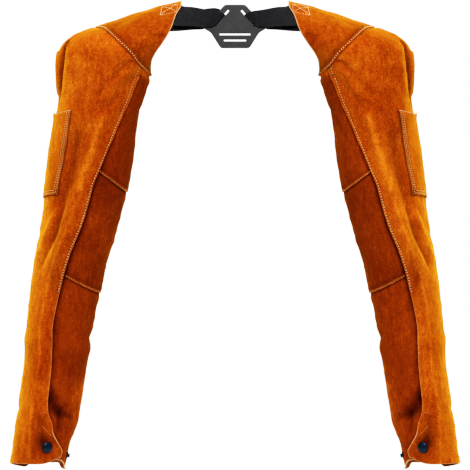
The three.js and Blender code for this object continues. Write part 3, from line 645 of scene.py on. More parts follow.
def suede(name, dark, mid, light, painted_highlight_tone, pale, sheen=0.8, tint=(1.0, 0.52, 0.04), vary=1.0):
    m, nodes, links, bsdf = new_material(name)
    place = nodes.new("ShaderNodeTexCoord").outputs["Object"]
    brushed = nodes.new("ShaderNodeMapping")
    brushed.inputs["Scale"].default_value = (1.0, 1.0, 0.3)
    brushed.inputs["Rotation"].default_value = (0.2, 0.35, 0.0)
    links.new(place, brushed.inputs["Vector"])
    blot = noise_node(nodes, links, place, 120.0, 4.0, 0.62, 0.5)
    grain = noise_node(nodes, links, place, 400.0, 3.0, 0.65)
    nap = noise_node(nodes, links, place, 1500.0, 2.0, 0.6)
    layers = [(noise_node(nodes, links, place, 9.0, 1.0, 0.5, 0.4), 0.9), (noise_node(nodes, links, place, 38.0, 2.0, 0.5, 0.6), 0.45), (blot, 0.5),
              (grain, 1.35), (noise_node(nodes, links, brushed.outputs[0], 190.0, 3.0, 0.6, 0.3), 0.8), (noise_node(nodes, links, brushed.outputs[0], 60.0, 2.0, 0.55, 0.3), 0.4)]
    total = None
    for value, share in layers:
        part = math_node(nodes, links, "MULTIPLY", math_node(nodes, links, "SUBTRACT", value, 0.5), share * vary)
        total = part if total is None else math_node(nodes, links, "ADD", total, part)
    total = math_node(nodes, links, "ADD", total, 0.45)
    wear = nodes.new("ShaderNodeAttribute")
    wear.attribute_name = "wear"
    parts = nodes.new("ShaderNodeSeparateColor")
    links.new(wear.outputs["Color"], parts.inputs[0])
    # painted highlight: the crest channel pushes the colour up the ramp to its lightest, yellowest tone
    total = math_node(nodes, links, "ADD", total, math_node(nodes, links, "MULTIPLY", parts.outputs[1], 0.55))
    colour = ramp_node(nodes, links, total, [(0.0, dark), (0.4, mid), (0.72, light), (1.0, painted_highlight_tone)])
    # painted warm rim light: a yellow mix where the fourth channel is set
    painted_warm_light = math_node(nodes, links, "MULTIPLY", wear.outputs["Alpha"], math_node(nodes, links, "ADD", total, 0.15))
    colour = mix_node(nodes, links, painted_warm_light, colour, (0.72, 0.33, 0.024))
    # painted shade: a mix towards a quarter of the dark tone
    shade = math_node(nodes, links, "MULTIPLY", parts.outputs[2], 0.92)
    colour = mix_node(nodes, links, shade, colour, tuple(0.25 * x for x in dark))
    fray = math_node(nodes, links, "MULTIPLY", parts.outputs[0], math_node(nodes, links, "ADD", grain, 0.35))
    colour = mix_node(nodes, links, fray, colour, pale)
    links.new(colour, bsdf.inputs["Base Color"])
    bsdf.inputs["Roughness"].default_value = 0.95
    bsdf.inputs["Specular IOR Level"].default_value = 0.0
    bsdf.inputs["Sheen Weight"].default_value = sheen
    bsdf.inputs["Sheen Roughness"].default_value = 0.4
    bsdf.inputs["Sheen Tint"].default_value = (*tint, 1.0)
    high = math_node(nodes, links, "ADD", math_node(nodes, links, "MULTIPLY", grain, 0.9), math_node(nodes, links, "MULTIPLY", nap, 0.35))
    high = math_node(nodes, links, "ADD", high, math_node(nodes, links, "MULTIPLY", blot, 0.9))
    bump = nodes.new("ShaderNodeBump")
    bump.inputs["Strength"].default_value = 0.55
    bump.inputs["Distance"].default_value = 0.0012
    links.new(high, bump.inputs["Height"])
    links.new(bump.outputs[0], bsdf.inputs["Normal"])
    return m


PALE = (0.80, 0.48, 0.25)
suede("outer_leather", (0.29, 0.046, 0.004), (0.43, 0.088, 0.008), (0.57, 0.142, 0.014), (0.74, 0.220, 0.022), PALE, vary=1.12)
suede("inner_leather", (0.135, 0.022, 0.003), (0.222, 0.041, 0.0045), (0.315, 0.066, 0.007), (0.60, 0.145, 0.015), PALE, 0.1, vary=0.75)
suede("flesh_side", (0.34, 0.100, 0.022), (0.46, 0.150, 0.036), (0.57, 0.205, 0.055), (0.66, 0.27, 0.08), PALE, 0.1)
suede("sewn_edge", (0.33, 0.085, 0.018), (0.44, 0.135, 0.034), (0.55, 0.20, 0.060), (0.64, 0.27, 0.09), PALE, 0.1)
suede("cut_edge", (0.52, 0.23, 0.085), (0.65, 0.34, 0.15), (0.77, 0.46, 0.24), (0.84, 0.54, 0.30), PALE, 0.1)


def plain(name, dark, light, scale, rough, bump_scale, bump_distance, specular=0.5, sheen=0.0, coat=0.0, metallic=0.0, strength=0.3):
    m, nodes, links, bsdf = new_material(name)
    place = nodes.new("ShaderNodeTexCoord").outputs["Object"]
    n = noise_node(nodes, links, place, scale, 4.0, 0.6)
    links.new(ramp_node(nodes, links, n, [(0.3, dark), (0.7, light)]), bsdf.inputs["Base Color"])
    bsdf.inputs["Roughness"].default_value = rough
    bsdf.inputs["Specular IOR Level"].default_value = specular
    bsdf.inputs["Sheen Weight"].default_value = sheen
    bsdf.inputs["Coat Weight"].default_value = coat
    bsdf.inputs["Coat Roughness"].default_value = 0.08
    bsdf.inputs["Metallic"].default_value = metallic
    bump = nodes.new("ShaderNodeBump")
    bump.inputs["Strength"].default_value = strength
    bump.inputs["Distance"].default_value = bump_distance
    links.new(noise_node(nodes, links, place, bump_scale, 3.0, 0.6), bump.inputs["Height"])
    links.new(bump.outputs[0], bsdf.inputs["Normal"])
    return m


plain("thread", (0.86, 0.54, 0.28), (0.95, 0.72, 0.46), 300.0, 0.7, 2500.0, 0.0002, 0.3)
plain("pocket_thread", (0.76, 0.42, 0.16), (0.90, 0.58, 0.28), 300.0, 0.8, 2500.0, 0.0002, 0.2)
plain("tone_thread", (0.62, 0.22, 0.05), (0.78, 0.34, 0.11), 300.0, 0.8, 2500.0, 0.0002, 0.2)
plain("plate", (0.027, 0.027, 0.028), (0.040, 0.040, 0.041), 120.0, 0.5, 2200.0, 0.0002, 0.35)
plain("snap_black", (0.010, 0.015, 0.025), (0.016, 0.022, 0.036), 60.0, 0.27, 40.0, 0.0001, 0.35, strength=0.02).node_tree.nodes["Principled BSDF"].inputs["Specular Tint"].default_value = (0.55, 0.75, 1.0, 1.0)


def webbing_material():
    m, nodes, links, bsdf = new_material("webbing")
    uv = nodes.new("ShaderNodeUVMap").outputs[0]
    ribs = nodes.new("ShaderNodeTexWave")
    ribs.wave_type, ribs.bands_direction, ribs.wave_profile = "BANDS", "Y", "SIN"
    ribs.inputs["Scale"].default_value = 170.0
    ribs.inputs["Distortion"].default_value = 0.6
    ribs.inputs["Detail"].default_value = 1.0
    links.new(uv, ribs.inputs["Vector"])
    warp = nodes.new("ShaderNodeTexWave")
    warp.wave_type, warp.bands_direction, warp.wave_profile = "BANDS", "X", "SIN"
    warp.inputs["Scale"].default_value = 230.0
    links.new(uv, warp.inputs["Vector"])
    weave = math_node(nodes, links, "MULTIPLY", ribs.outputs["Fac"], warp.outputs["Fac"])
    fuzz = noise_node(nodes, links, nodes.new("ShaderNodeTexCoord").outputs["Object"], 260.0, 4.0, 0.65)
    tone = math_node(nodes, links, "ADD", math_node(nodes, links, "MULTIPLY", weave, 0.4), math_node(nodes, links, "MULTIPLY", fuzz, 0.6))
    links.new(ramp_node(nodes, links, tone, [(0.2, (0.015, 0.015, 0.017)), (0.75, (0.039, 0.039, 0.043))]), bsdf.inputs["Base Color"])
    bsdf.inputs["Roughness"].default_value = 0.8
    bsdf.inputs["Specular IOR Level"].default_value = 0.15
    bsdf.inputs["Sheen Weight"].default_value = 0.03
    bump = nodes.new("ShaderNodeBump")
    bump.inputs["Strength"].default_value = 0.6
    bump.inputs["Distance"].default_value = 0.0006
    links.new(weave, bump.inputs["Height"])
    links.new(bump.outputs[0], bsdf.inputs["Normal"])


webbing_material()
OUTER, INNER = ["outer_leather", "cut_edge", "flesh_side", "sewn_edge"], ["inner_leather", "cut_edge", "flesh_side", "sewn_edge"]


# ---------------------------------------------------------------- leather panels
def build_cape():
    f = np.unique(np.concatenate([np.array([0, 0.5, 1.2, 2.2, 3.6]) / 62.0, np.linspace(6.0, 46.0, 24) / 62.0,
                                  1 - np.array(FINE) / 62.0]))
    s_rows = 2.0 * f
    d = np.concatenate([np.linspace(-168, 8, 92)[:-1], np.linspace(8, 66, 52)[:-1], np.linspace(66, 168, 58)])
    s, deg = np.meshgrid(s_rows, d, indexing="ij")
    s = s * cape_seam(deg) / CAPE_SEAM
    run = run_per_section(CAPE_SEAM, deg)
    lap_edge = (cape_seam(deg) - s) * run
    neck_edge = s * run_per_section(0.1, deg)
    off = edge_curl(neck_edge, 0.5, 9) + 0.3 * gauss((lap_edge - 1.2) / 1.6)
    # painted highlight on the rolled lap edge and over the top of the cape; painted shade along the stitch row, below
    # the lap and on the lower, turned-away part of the cape
    wear = edges_and_painted_light_of(s, 0.95 * gauss(neck_edge / 1.3) + 0.12 * gauss(lap_edge / 0.7), 0.4 * gauss(lap_edge / 3.0) + 0.28 * smooth((34 - np.abs(deg - 2)) / 34),
                   0.5 * gauss((lap_edge - SEW_IN) / 0.9) + 0.3 * gauss((lap_edge - 6.0) / 3.0) + 0.28 * smooth((deg - 14) / 30) - 0.04 * smooth((deg - 70) / 40))
    return add_sheet("cape_suede", "cape", s, deg, off, "cape", OUTER, wear=wear, sewn=neck_edge > 3.0)


def outer_near_distance(s, deg):
    return (near_edge(s) - deg) / degrees_per_mm(s, near_edge(s))


def outer_offset(s, deg):
    near = outer_near_distance(s, deg)
    far = (deg - far_edge(s)) / degrees_per_mm(s, far_edge(s))
    vent = smooth((s - SEAM_END) / 0.7)
    flutter = 1 + 0.9 * noise3(np.stack([s * 1.7, s * 0, s * 0], -1), 7)
    return (drop_under_cape(s, deg) + edge_curl(near, 1.3, 9) * vent * flutter
            + 0.3 * (gauss((near - 1.2) / 1.6) + gauss((far - 1.2) / 1.6)))


def build_outer():
    def rows(deg):
        lap = cape_lap(deg)
        top = [CAPE_SEAM - lap, CAPE_SEAM - 0.5 * lap]
        body = [CAPE_SEAM + (19.0 - CAPE_SEAM) * k / 205 for k in range(0, 206)]
        tail = [with_hem(20 - k / 36.0, deg) for k in (32, 28, 24, 20.5, 17.5, 14.5, 12, 10, 8, 6.4, 5, 3.8, 2.8, 2, 1.3, 0.6, 0)]
        return [np.broadcast_to(x, np.shape(deg)) for x in top + body + tail]
    n = len(rows(np.array(90.0)))
    s, deg = make_grid(rows, outer_columns, n, len(outer_columns(np.array(5.0))))
    near = outer_near_distance(s, deg)
    far = (deg - far_edge(s)) / degrees_per_mm(s, far_edge(s))
    hem = (with_hem(20.0, deg) - s) * 36.0
    crest = np.minimum(path_distance(s, deg, FOLDS[0][4]), 3.0 + path_distance(s, deg, FOLDS[1][4]) / 2.5)
    # painted shade along the stitch grooves of the long seams
    sewn = np.where(s < SEAM_END, gauss((near - seam_in(s)) / 0.9), 0) + gauss((far - seam_in(s)) / 0.9)
    # painted shadow just below the cape's lapped edge
    cape_lap_shadow = gauss((s - cape_seam(deg)) * run_per_section(CAPE_SEAM, deg) / 2.5)
    bare = 0.10 + 0.12 * smooth((s - SEAM_END) / 0.5) + 0.85 * smooth((s - 18.2) / 0.5)
    # the outer side of the sleeve, which gets painted rim light and painted warm light
    rim = smooth((62 - np.abs(deg)) / 56) * (0.3 + 0.7 * smooth((s - 6) / 9))
    # painted shade strokes: beside the pressed crease, in grooves and valleys, around the snap, at the cuff and in the
    # shoulder fold
    painted_shade_strokes = smooth((deg - ridge_deg(s) - 2.0) / 7.0) * (0.10 * smooth((s - 9.4) / 1.2) + 0.07 * smooth((s - 10.8) / 0.8) - 0.13 * smooth((s - 13.4) / 1.0) + 0.12 * gauss((s - 18.7) / 0.5))
    painted_shade_strokes = painted_shade_strokes * (1 - smooth((deg - 112) / 10)) + 0.46 * gauss(path_distance(s, deg, [[18.0, 84], [18.5, 91], [18.95, 97]]) / 14.0)
    painted_shade_strokes = painted_shade_strokes + 0.13 * gauss(path_distance(s, deg, [[8.3, 72], [9.3, 72], [9.9, 70]]) / 13.0)
    painted_shade_strokes = painted_shade_strokes + 0.26 * gauss(path_distance(s, deg, [[11.5, 61], [11.9, 64], [12.2, 69], [12.6, 73], [13.2, 74]]) / 10.0)
    painted_shade_strokes = painted_shade_strokes + 0.1 * gauss((s - 12.7) / 0.9) * smooth((deg - 10) / 30)
    painted_shade_strokes = painted_shade_strokes + 0.45 * gauss(np.hypot((s - 19.1) * 36.0, (deg - 110.0) / degrees_per_mm(s, deg)) / 14.0)
    # painted highlight along the upper-arm ridge
    ridge_highlight = gauss(path_distance(s, deg, FOLDS[1][4]) / 6.0)
    _, _, side, low, high = pocket_place(s, deg)  # the shadow that the pocket throws beside itself
    # painted shadow of the pocket on the panel
    beside = 0.75 * gauss((np.minimum(side, low) + 1.2) / 1.6) * smooth((high + 3.0) / 3.0) + 0.8 * gauss((high + 0.5) / 2.0) * smooth(side / 3.0)
    painted_shade_strokes = painted_shade_strokes + 0.6 * gauss(path_distance(s, deg, [[3.7, 21], [4.1, 24], [4.5, 27], [4.9, 29], [5.3, 29.5], [5.7, 27.5], [6.2, 22.5], [6.7, 16]]) / 5.0)
    painted_shade_strokes = painted_shade_strokes + 0.2 * gauss(path_distance(s, deg, [[2.6, 122], [4.55, 119.3], [5.67, 110.7], [6.35, 101.3], [6.83, 92.7]]) / 5.0)
    painted_shade_strokes = painted_shade_strokes + 0.17 * smooth((s - 18.2) / 0.8) * (0.4 * smooth((deg - 20) / 20) + 0.6 * smooth((deg - 56) / 20))
    painted_shade_strokes = painted_shade_strokes + 0.14 * gauss(path_distance(s, deg, [[3.2, 52], [4.7, 60]]) / 30.0)
    # painted light on the lower forearm beyond the pressed crease
    painted_light_beyond_crease = smooth((deg - ridge_deg(s) - 2.0) / 7.0) * smooth((s - 13.8) / 0.9) * smooth((17.4 - s) / 0.7)
    # painted highlight on crease crests, the ridge, the near edge, the rim and the shoulder top; painted shade and
    # shadow; painted warm rim light
    wear = edges_and_painted_light_of(s, bare * gauss(near / (0.8 + 0.7 * smooth((s - 18.2) / 0.5))) + 0.12 * gauss(far / 0.8) + 0.4 * gauss(hem / 1.1),
                   0.5 * gauss(crest / 2.4) + 0.75 * ridge_highlight + 0.25 * gauss(near / 3.0) + 0.33 * rim + 0.16 * painted_light_beyond_crease + 0.14 * smooth((4.6 - s) / 2.4) * smooth((75 - np.abs(deg)) / 50),
                   0.55 * sewn + 0.55 * cape_lap_shadow + painted_fold_shade(s, deg, "outer") + painted_shade_strokes + beside, 0.36 * rim + 0.05 * gauss(crest / 2.4))
    # the flesh side gets painted shade, darkest near the hem
    return add_sheet("outer_panel_suede", "outer_panel", s, deg, outer_offset(s, deg), "outer", OUTER, wear=wear, sewn=(s < 18.2) & (hem > 2.0), inside_shade=0.1 + 0.9 * gauss(hem / 16.0))


def inner_shade(s, deg):
    # painted shadow under the outer panel's near edge and painted shade in the hollow by the cuff
    near = (deg - near_edge(s)) / degrees_per_mm(s, near_edge(s))
    hollow = 0.24 * gauss(path_distance(s, deg, [[17.4, 116], [17.5, 126], [17.62, 138], [17.7, 147]]) / 13.0)
    hollow = hollow + 0.22 * gauss(path_distance(s, deg, [[17.6, 134], [17.66, 140], [17.72, 146]]) / 9.0)
    hollow = hollow + 0.25 * gauss(path_distance(s, deg, [[17.75, 128], [18.0, 125], [18.25, 125]]) / 9.0)
    return (0.95 - 0.35 * smooth((s - 13.6) / 0.6) - 0.2 * smooth((s - 15.6) / 0.8)) * gauss(np.maximum(near, 0) / 4.2) + hollow + 0.1 * gauss((s - 17.5) / 0.6) * gauss(np.maximum(near, 0) / 11.0)


def inner_panel(name, node, rows, offset, seam_above, seam_below):
    n = len(rows(np.array(150.0)))
    s, deg = make_grid(rows, inner_columns, n, len(inner_columns(np.array(5.0))))
    shade = inner_shade(s, deg) + painted_fold_shade(s, deg, "inner")
    edge = np.zeros(s.shape)
    # painted highlight on the body-side rim, near the armpit and low on the forearm
    crest = 0.55 * gauss((deg - 181) / 15) + 0.95 * smooth((6.2 - s) / 3.2) + 0.3 * smooth((s - 15.5) / 2.0) * smooth((deg - 128) / 20)
    if seam_above and seam_below:  # the middle panel is darkened throughout
        shade = shade + 0.2
    if seam_above:
        # painted shadow below the lapped seam above
        shade = shade + 0.8 * gauss(np.maximum((s - cross_seam(seam_above, deg)) * PITCH, 0) / 2.5)
    if seam_below:
        low = (cross_seam(seam_below, deg) - s) * PITCH
        # painted highlight on the rolled edge of the seam below and painted shade along its stitch row
        edge, crest = 0.12 * gauss(low / 0.8), crest + 0.6 * gauss(low / 2.6)
        shade = shade + 0.4 * gauss((low - SEW_IN) / 0.8) + 0.25 * gauss((low - 6.5) / 3.0)
    else:
        edge = 0.9 * gauss((with_hem(20.0, deg, "inner") - s) * 36 / 1.3)
    return add_sheet(name, node, s, deg, offset(s, deg), "inner", INNER, wear=edges_and_painted_light_of(s, edge, crest, shade), sewn=s < 18.6)


def puff(seam, s, deg):
    return 0.3 * gauss(((cross_seam(seam, deg) - s) * PITCH - 1.2) / 1.6)


def build_inner_upper():
    def rows(deg):
        lap, end = cape_lap(deg), cross_seam("upper", deg)
        stop = end - FINE[-1] / PITCH
        body = [CAPE_SEAM + (stop - CAPE_SEAM) * k / 92 for k in range(92)]
        return [np.broadcast_to(x, np.shape(deg)) for x in [CAPE_SEAM - lap, CAPE_SEAM - 0.5 * lap] + body + [end - k / PITCH for k in reversed(FINE)]]
    return inner_panel("inner_upper_suede", "inner_upper_panel", rows,
                       lambda s, d: drop_under_cape(s, d) + drop_under_outer(s, d) + puff("upper", s, d) + (1.6 * gauss((s - 6.3) / 0.9) - 2.2 * gauss((s - 3.6) / 0.9)) * smooth((d - 148) / 22), None, "upper")


def build_inner_middle():
    def rows(deg):
        start, end = cross_seam("upper", deg), cross_seam("lower", deg)
        head = [start + k / PITCH for k in (-9, -6, -4.5, -3, -1.5, 0, 1.5, 3, 5, 7, 9.5)]
        a, b = head[-1], end - FINE[-1] / PITCH
        return head + [a + (b - a) * k / 40 for k in range(1, 40)] + [end - k / PITCH for k in reversed(FINE)]
    return inner_panel("inner_middle_suede", "inner_middle_panel", rows,
                       lambda s, d: drop_under_seam("upper", s, d) + drop_under_outer(s, d) + puff("lower", s, d), "upper", "lower")


def build_inner_lower():
    def rows(deg):
        start = cross_seam("lower", deg)
        head = [start + k / PITCH for k in (-9, -6, -4.5, -3, -1.5, 0, 1.5, 3, 5, 7, 9.5)]
        a = head[-1]
        tail = [with_hem(20 - k / 36.0, deg, "inner") for k in (32, 28, 24, 20.5, 17.5, 14.5, 12, 10, 8, 6.4, 5, 3.8, 2.8, 2, 1.3, 0.6, 0)]
        return head + [a + (19.0 - a) * k / 72 for k in range(1, 73)] + [np.broadcast_to(x, np.shape(deg)) for x in tail]
    return inner_panel("inner_lower_suede", "inner_lower_panel", rows,
                       lambda s, d: drop_under_seam("lower", s, d) + drop_under_outer(s, d), "lower", None)


POCKET = {"backTop": 57.5, "backEnd": 52.5, "frontTop": -50.0, "frontEnd": -45.0, "topBack": 7.57, "topFront": 7.60, "endBack": 10.43, "endFront": 10.74}
POCKET_LEATHER = 1.8


def pocket_sides(s):
    k = (s - POCKET["topBack"]) / (POCKET["endBack"] - POCKET["topBack"])
    return POCKET["frontTop"] + (POCKET["frontEnd"] - POCKET["frontTop"]) * k, POCKET["backTop"] + (POCKET["backEnd"] - POCKET["backTop"]) * k


def pocket_ends(deg):
    p = (deg + 47.5) / 102.5
    sag = 0.15 * gauss((p - 0.74) / 0.2) + 0.1 * gauss((p - 0.26) / 0.2)
    top = POCKET["topFront"] + (POCKET["topBack"] - POCKET["topFront"]) * p + sag
    end = POCKET["endFront"] + (POCKET["endBack"] - POCKET["endFront"]) * p
    return top, end


def pocket_place(s, deg):
    """Share across, share down, and distances in mm from the sides, the bottom and the mouth."""
    top, end = pocket_ends(deg)
    lo, hi = pocket_sides(s)
    p, q = (deg - lo) / (hi - lo), (s - top) / (end - top)
    return p, q, np.minimum(deg - lo, hi - deg) * DEGREE_RUN, (end - s) * PITCH, (s - top) * PITCH


POCKET_ROWS = (2.6, 6.0)


def pocket_offset(s, deg):
    p, q, side, low, high = pocket_place(s, deg)
    across, down = smooth(np.minimum(p, 1 - p) / 0.3), smooth((1 - q) / 0.5)
    row = sum(gauss((side - k) / 1.1) + gauss((low - k) / 1.1) for k in POCKET_ROWS)
    lip = 1.5 * gauss(np.maximum(high, 0) / 7.0) * across
    return 0.35 + POCKET_LEATHER + 0.9 * across * down + lip - 0.3 * np.clip(row, 0, 1) + 0.25 * (gauss((side - 4.3) / 1.1) + gauss((low - 4.3) / 1.1))


def build_pocket():
    fine = [0.0, 0.6, 1.3, 2.0, 2.6, 3.3, 4.2, 5.2, 6.0, 6.9, 8.6, 11.0]

    def columns(s):
        lo, hi = pocket_sides(s)
        return spaced(lo, hi, 1 / DEGREE_RUN, 1 / DEGREE_RUN, fine, fine, 30)

    def rows(deg):
        top, end = pocket_ends(deg)
        return spaced(top, end, 1 / PITCH, 1 / PITCH, [0, 0.6, 1.4, 2.5, 4.0, 6.0], fine, 32)
    s, deg = make_grid(rows, columns, len(rows(np.array(0.0))), len(columns(np.array(8.0))))
    p, q, side, low, high = pocket_place(s, deg)
    sewn = np.clip(sum(gauss((side - k) / 0.9) + gauss((low - k) / 0.9) for k in POCKET_ROWS), 0, 1)
    # painted highlight at the mouth; painted shade along the stitch rows and sewn sides; painted warm light on the
    # outer side
    wear = edges_and_painted_light_of(s, 0.15 * gauss(side / 0.8) + 0.15 * gauss(low / 0.8) + 0.75 * gauss(high / 1.5), 0.36 * gauss(high / 9.0), 0.65 * sewn + 0.16 * smooth((9.0 - side) / 2.0), 0.2 * smooth((60 - np.abs(deg)) / 50))
    return add_sheet("pocket_suede", "pocket", s, deg, pocket_offset(s, deg), "outer", OUTER, POCKET_LEATHER, wear, sewn=high > 2.0)


capes, cape_skin = build_cape()
outers, outer_skin = build_outer()
inner_uppers, _ = build_inner_upper()
inner_middles, _ = build_inner_middle()
inner_lowers, _ = build_inner_lower()
pockets, _ = build_pocket()

# ---------------------------------------------------------------- stitching
s, d = SEWN["near_seam"]
sew("thread", s, d, outer_offset(s, d), "outer")
s, d = SEWN["far_seam"]
sew("thread", s, d, outer_offset(s, d), "outer")
s, d = SEWN["cape_seam"]
sew("thread", s, d, 0 * s + 0.1, "cape")
for seam in ("upper", "lower"):
    s, d = SEWN[seam + "_cross"]
    sew("tone_thread", s, d, drop_under_outer(s, d) + puff(seam, s, d), "inner")
for inset in POCKET_ROWS:
    d_in = inset / DEGREE_RUN
    for which in (0, 1):
        s = np.linspace(7.5, 10.9, 500)
        d = pocket_sides(s)[which] + (d_in if which == 0 else -d_in)
        top, end = pocket_ends(d)
        keep = (s > top + 0.04) & (s < end - inset / PITCH)
        s, d = s[keep], d[keep]
        sew("pocket_thread", s, d, pocket_offset(s, d), "outer", 3.4, 2.4, 0.42)
    d = np.linspace(-60, 60, 500)
    s = pocket_ends(d)[1] - inset / PITCH
    lo, hi = pocket_sides(s)
    keep = (d > lo + d_in) & (d < hi - d_in)
    sew("pocket_thread", s[keep], d[keep], pocket_offset(s[keep], d[keep]), "outer", 3.4, 2.4, 0.42)

# boxed cross that holds the webbing below the neck tip of the cape
BOX = [(0.54, 25.0), (0.17, 23.5), (0.08, 46.0), (0.54, 47.0)]
for a, b in ((0, 1), (1, 2), (2, 3), (3, 0), (0, 2), (1, 3)):
    (s1, d1), (s2, d2) = BOX[a], BOX[b]
    t = np.linspace(0.02, 0.98, 60)
    s, d = s1 + (s2 - s1) * t, d1 + (d2 - d1) * t
    sew("thread", s, d, 0 * s + 0.05, "cape", 3.4, 2.6, 0.45)

# tacks on the cuff
for path in ([(17.68, 81.0), (17.62, 93.0)], [(18.25, 90.0), (18.7, 112.0)]):
    (s1, d1), (s2, d2) = path
    t = np.linspace(0, 1, 60)
    s, d = s1 + (s2 - s1) * t, d1 + (d2 - d1) * t
    sew("tone_thread", s, d, outer_offset(s, d), "outer", 3.2, 2.4, 0.4)

for group, parts in THREADS.items():
    v, f = joined(parts)
    for side, flip in (("left", False), ("right", True)):
        obj = mesh_object(f"{side}_{group}_stitches", v, f, np.zeros(len(f)), [group], flip=flip)
        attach(obj, "root")


# ---------------------------------------------------------------- snaps
def turned(profile, segments, place, axis):
    axis = unit(np.asarray(axis, float))
    other = unit(np.cross(axis, np.array([0.3, 0.5, 0.8])))
    third = np.cross(axis, other)
    a = np.arange(segments) * 2 * math.pi / segments
    verts, faces = [place + axis * profile[0][1]], []
    for r, h in profile[1:-1]:
        verts += [place + axis * h + (other * math.cos(t) + third * math.sin(t)) * r for t in a]
    verts.append(place + axis * profile[-1][1])
    n = len(profile) - 2
    for k in range(segments):
        k2 = (k + 1) % segments
        faces.append((0, 1 + k2, 1 + k))
        for i in range(n - 1):
            faces.append((1 + i * segments + k, 1 + i * segments + k2, 1 + (i + 1) * segments + k2, 1 + (i + 1) * segments + k))
        faces.append((1 + (n - 1) * segments + k, 1 + (n - 1) * segments + k2, 1 + n * segments))
    return np.array(verts), faces


def dome(radius, height, flat=0.0, steps=12):
    return [(radius * math.cos(t), flat + (height - flat) * math.sin(t)) for t in np.linspace(0, math.pi / 2, steps)[:-1]]


SNAP, STUD = (19.23, 110.0), (19.48, 177.0)
cap_profile = [(0, -0.6), (7.4, -0.6), (7.9, -0.2), (8.2, 0.3), (8.25, 0.8), (8.05, 1.15)] + [(r, h) for r, h in dome(8.0, 4.3, 1.2, 16)] + [(0, 4.3)]
stud_profile = [(0, -0.4), (5.0, -0.4), (5.4, 0.0), (5.4, 0.6), (5.0, 1.0), (3.3, 1.2), (2.7, 1.6), (2.5, 2.2), (2.8, 2.7), (3.2, 3.1), (3.1, 3.5), (2.6, 3.8), (1.6, 3.95), (0, 4.0)]
for name, node, (s0, d0), offset, kind, profile in (
        ("snap_cap_domed", "snap_cap", SNAP, 0.5, "outer", cap_profile),
        ("snap_stud_turned", "snap_stud", STUD, 0.3, "inner", stud_profile)):
    s, d = np.array([s0]), np.array([d0])
    lift = outer_offset(s, d) if kind == "outer" else drop_under_outer(s, d)
    v, f = turned(profile, 56, skin(s, d, lift + offset, kind)[0], normal_at(s, d)[0])
    for side, flip in (("left", False), ("right", True)):
        obj = mesh_object(f"{side}_{name}", v, f, np.zeros(len(f)), ["snap_black"], flip=flip)
        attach(obj, "root")
        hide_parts(f"{side}_{node}")

# ---------------------------------------------------------------- back plate
PLATE = {"top": (15.0, -12.8), "wing": (46.0, -47.4), "notch": (35.6, -53.2), "end": (21.0, -76.4)}
PLATE_FACE, PLATE_THICK, BAR_WIDTH, SLOT_WIDTH, STRAIGHT_SLOT_WIDTH = -54.0, 3.0, 8.0, 3.4, 2.9
_top, _wing = np.array(PLATE["top"]), np.array(PLATE["wing"])
WING = (_wing - _top) / np.linalg.norm(_wing - _top)
WING_IN = np.array([WING[1], -WING[0]])


def slant_point(along, into):
    return _top + WING * along + WING_IN * into


def rounded(corners, radius, steps=8):
    out, n = [], len(corners)
    for i in range(n):
        p, a, b = (np.array(corners[k % n], float) for k in (i, i - 1, i + 1))
        r = min(radius, np.linalg.norm(a - p) / 2.05, np.linalg.norm(b - p) / 2.05)
        p1, p2 = p + (a - p) / np.linalg.norm(a - p) * r, p + (b - p) / np.linalg.norm(b - p) * r
        for t in np.linspace(0, 1, steps):
            out.append((1 - t) ** 2 * p1 + 2 * t * (1 - t) * p + t * t * p2)
    return out


def build_plate():
    right = [PLATE[k] for k in ("top", "wing", "notch", "end")]
    loops = [rounded([(-x, z) for x, z in right] + right[::-1], 3.5)]
    for half, z in ((23.0, -56.3), (16.6, -65.2)):
        w = STRAIGHT_SLOT_WIDTH / 2
        loops.append(rounded([(-half, z - w), (half, z - w), (half, z + w), (-half, z + w)], w))
    w = SLOT_WIDTH / 2
    for side in (1, -1):
        box = [slant_point(1.8, BAR_WIDTH), slant_point(36.0, BAR_WIDTH), slant_point(36.0, BAR_WIDTH + SLOT_WIDTH), slant_point(1.8, BAR_WIDTH + SLOT_WIDTH)]
        loops.append(rounded([(side * p[0], p[1]) for p in box], w))
    curve = bpy.data.curves.new("plate_outline", "CURVE")
    curve.dimensions = "2D"
    curve.fill_mode = "BOTH"
    bevel = 0.8
    curve.extrude = (PLATE_THICK / 2 - bevel) * 0.001
    curve.bevel_depth = bevel * 0.001
    curve.bevel_resolution = 3
    curve.offset = -bevel * 0.001
    for loop in loops:
        spline = curve.splines.new("POLY")
        spline.points.add(len(loop) - 1)
        for point, (x, z) in zip(spline.points, loop):
            point.co = (x * 0.001, z * 0.001, 0, 1)
        spline.use_cyclic_u = True
    temp = bpy.data.objects.new("plate_outline", curve)
    bpy.context.scene.collection.objects.link(temp)
    bpy.context.view_layer.update()
    mesh = bpy.data.meshes.new_from_object(temp.evaluated_get(bpy.context.evaluated_depsgraph_get()))
    bpy.data.objects.remove(temp)
    bpy.data.curves.remove(curve)
    co = np.empty(len(mesh.vertices) * 3, np.float32)
    mesh.vertices.foreach_get("co", co)
    co = co.reshape(-1, 3)
    placed = np.stack([co[:, 0], (PLATE_FACE + PLATE_THICK / 2) * 0.001 - co[:, 2], co[:, 1]], -1)
    mesh.vertices.foreach_set("co", placed.ravel().astype(np.float32))
    mesh.materials.clear()
    mesh.materials.append(MATERIALS["plate"])
    mesh.polygons.foreach_set("use_smooth", np.zeros(len(mesh.polygons), bool))
    mesh.update()
    obj = bpy.data.objects.new("back_plate_moulded", mesh)
    bpy.context.scene.collection.objects.link(obj)
    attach(obj, "root")
    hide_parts("back_plate")
    return obj


plate = build_plate()

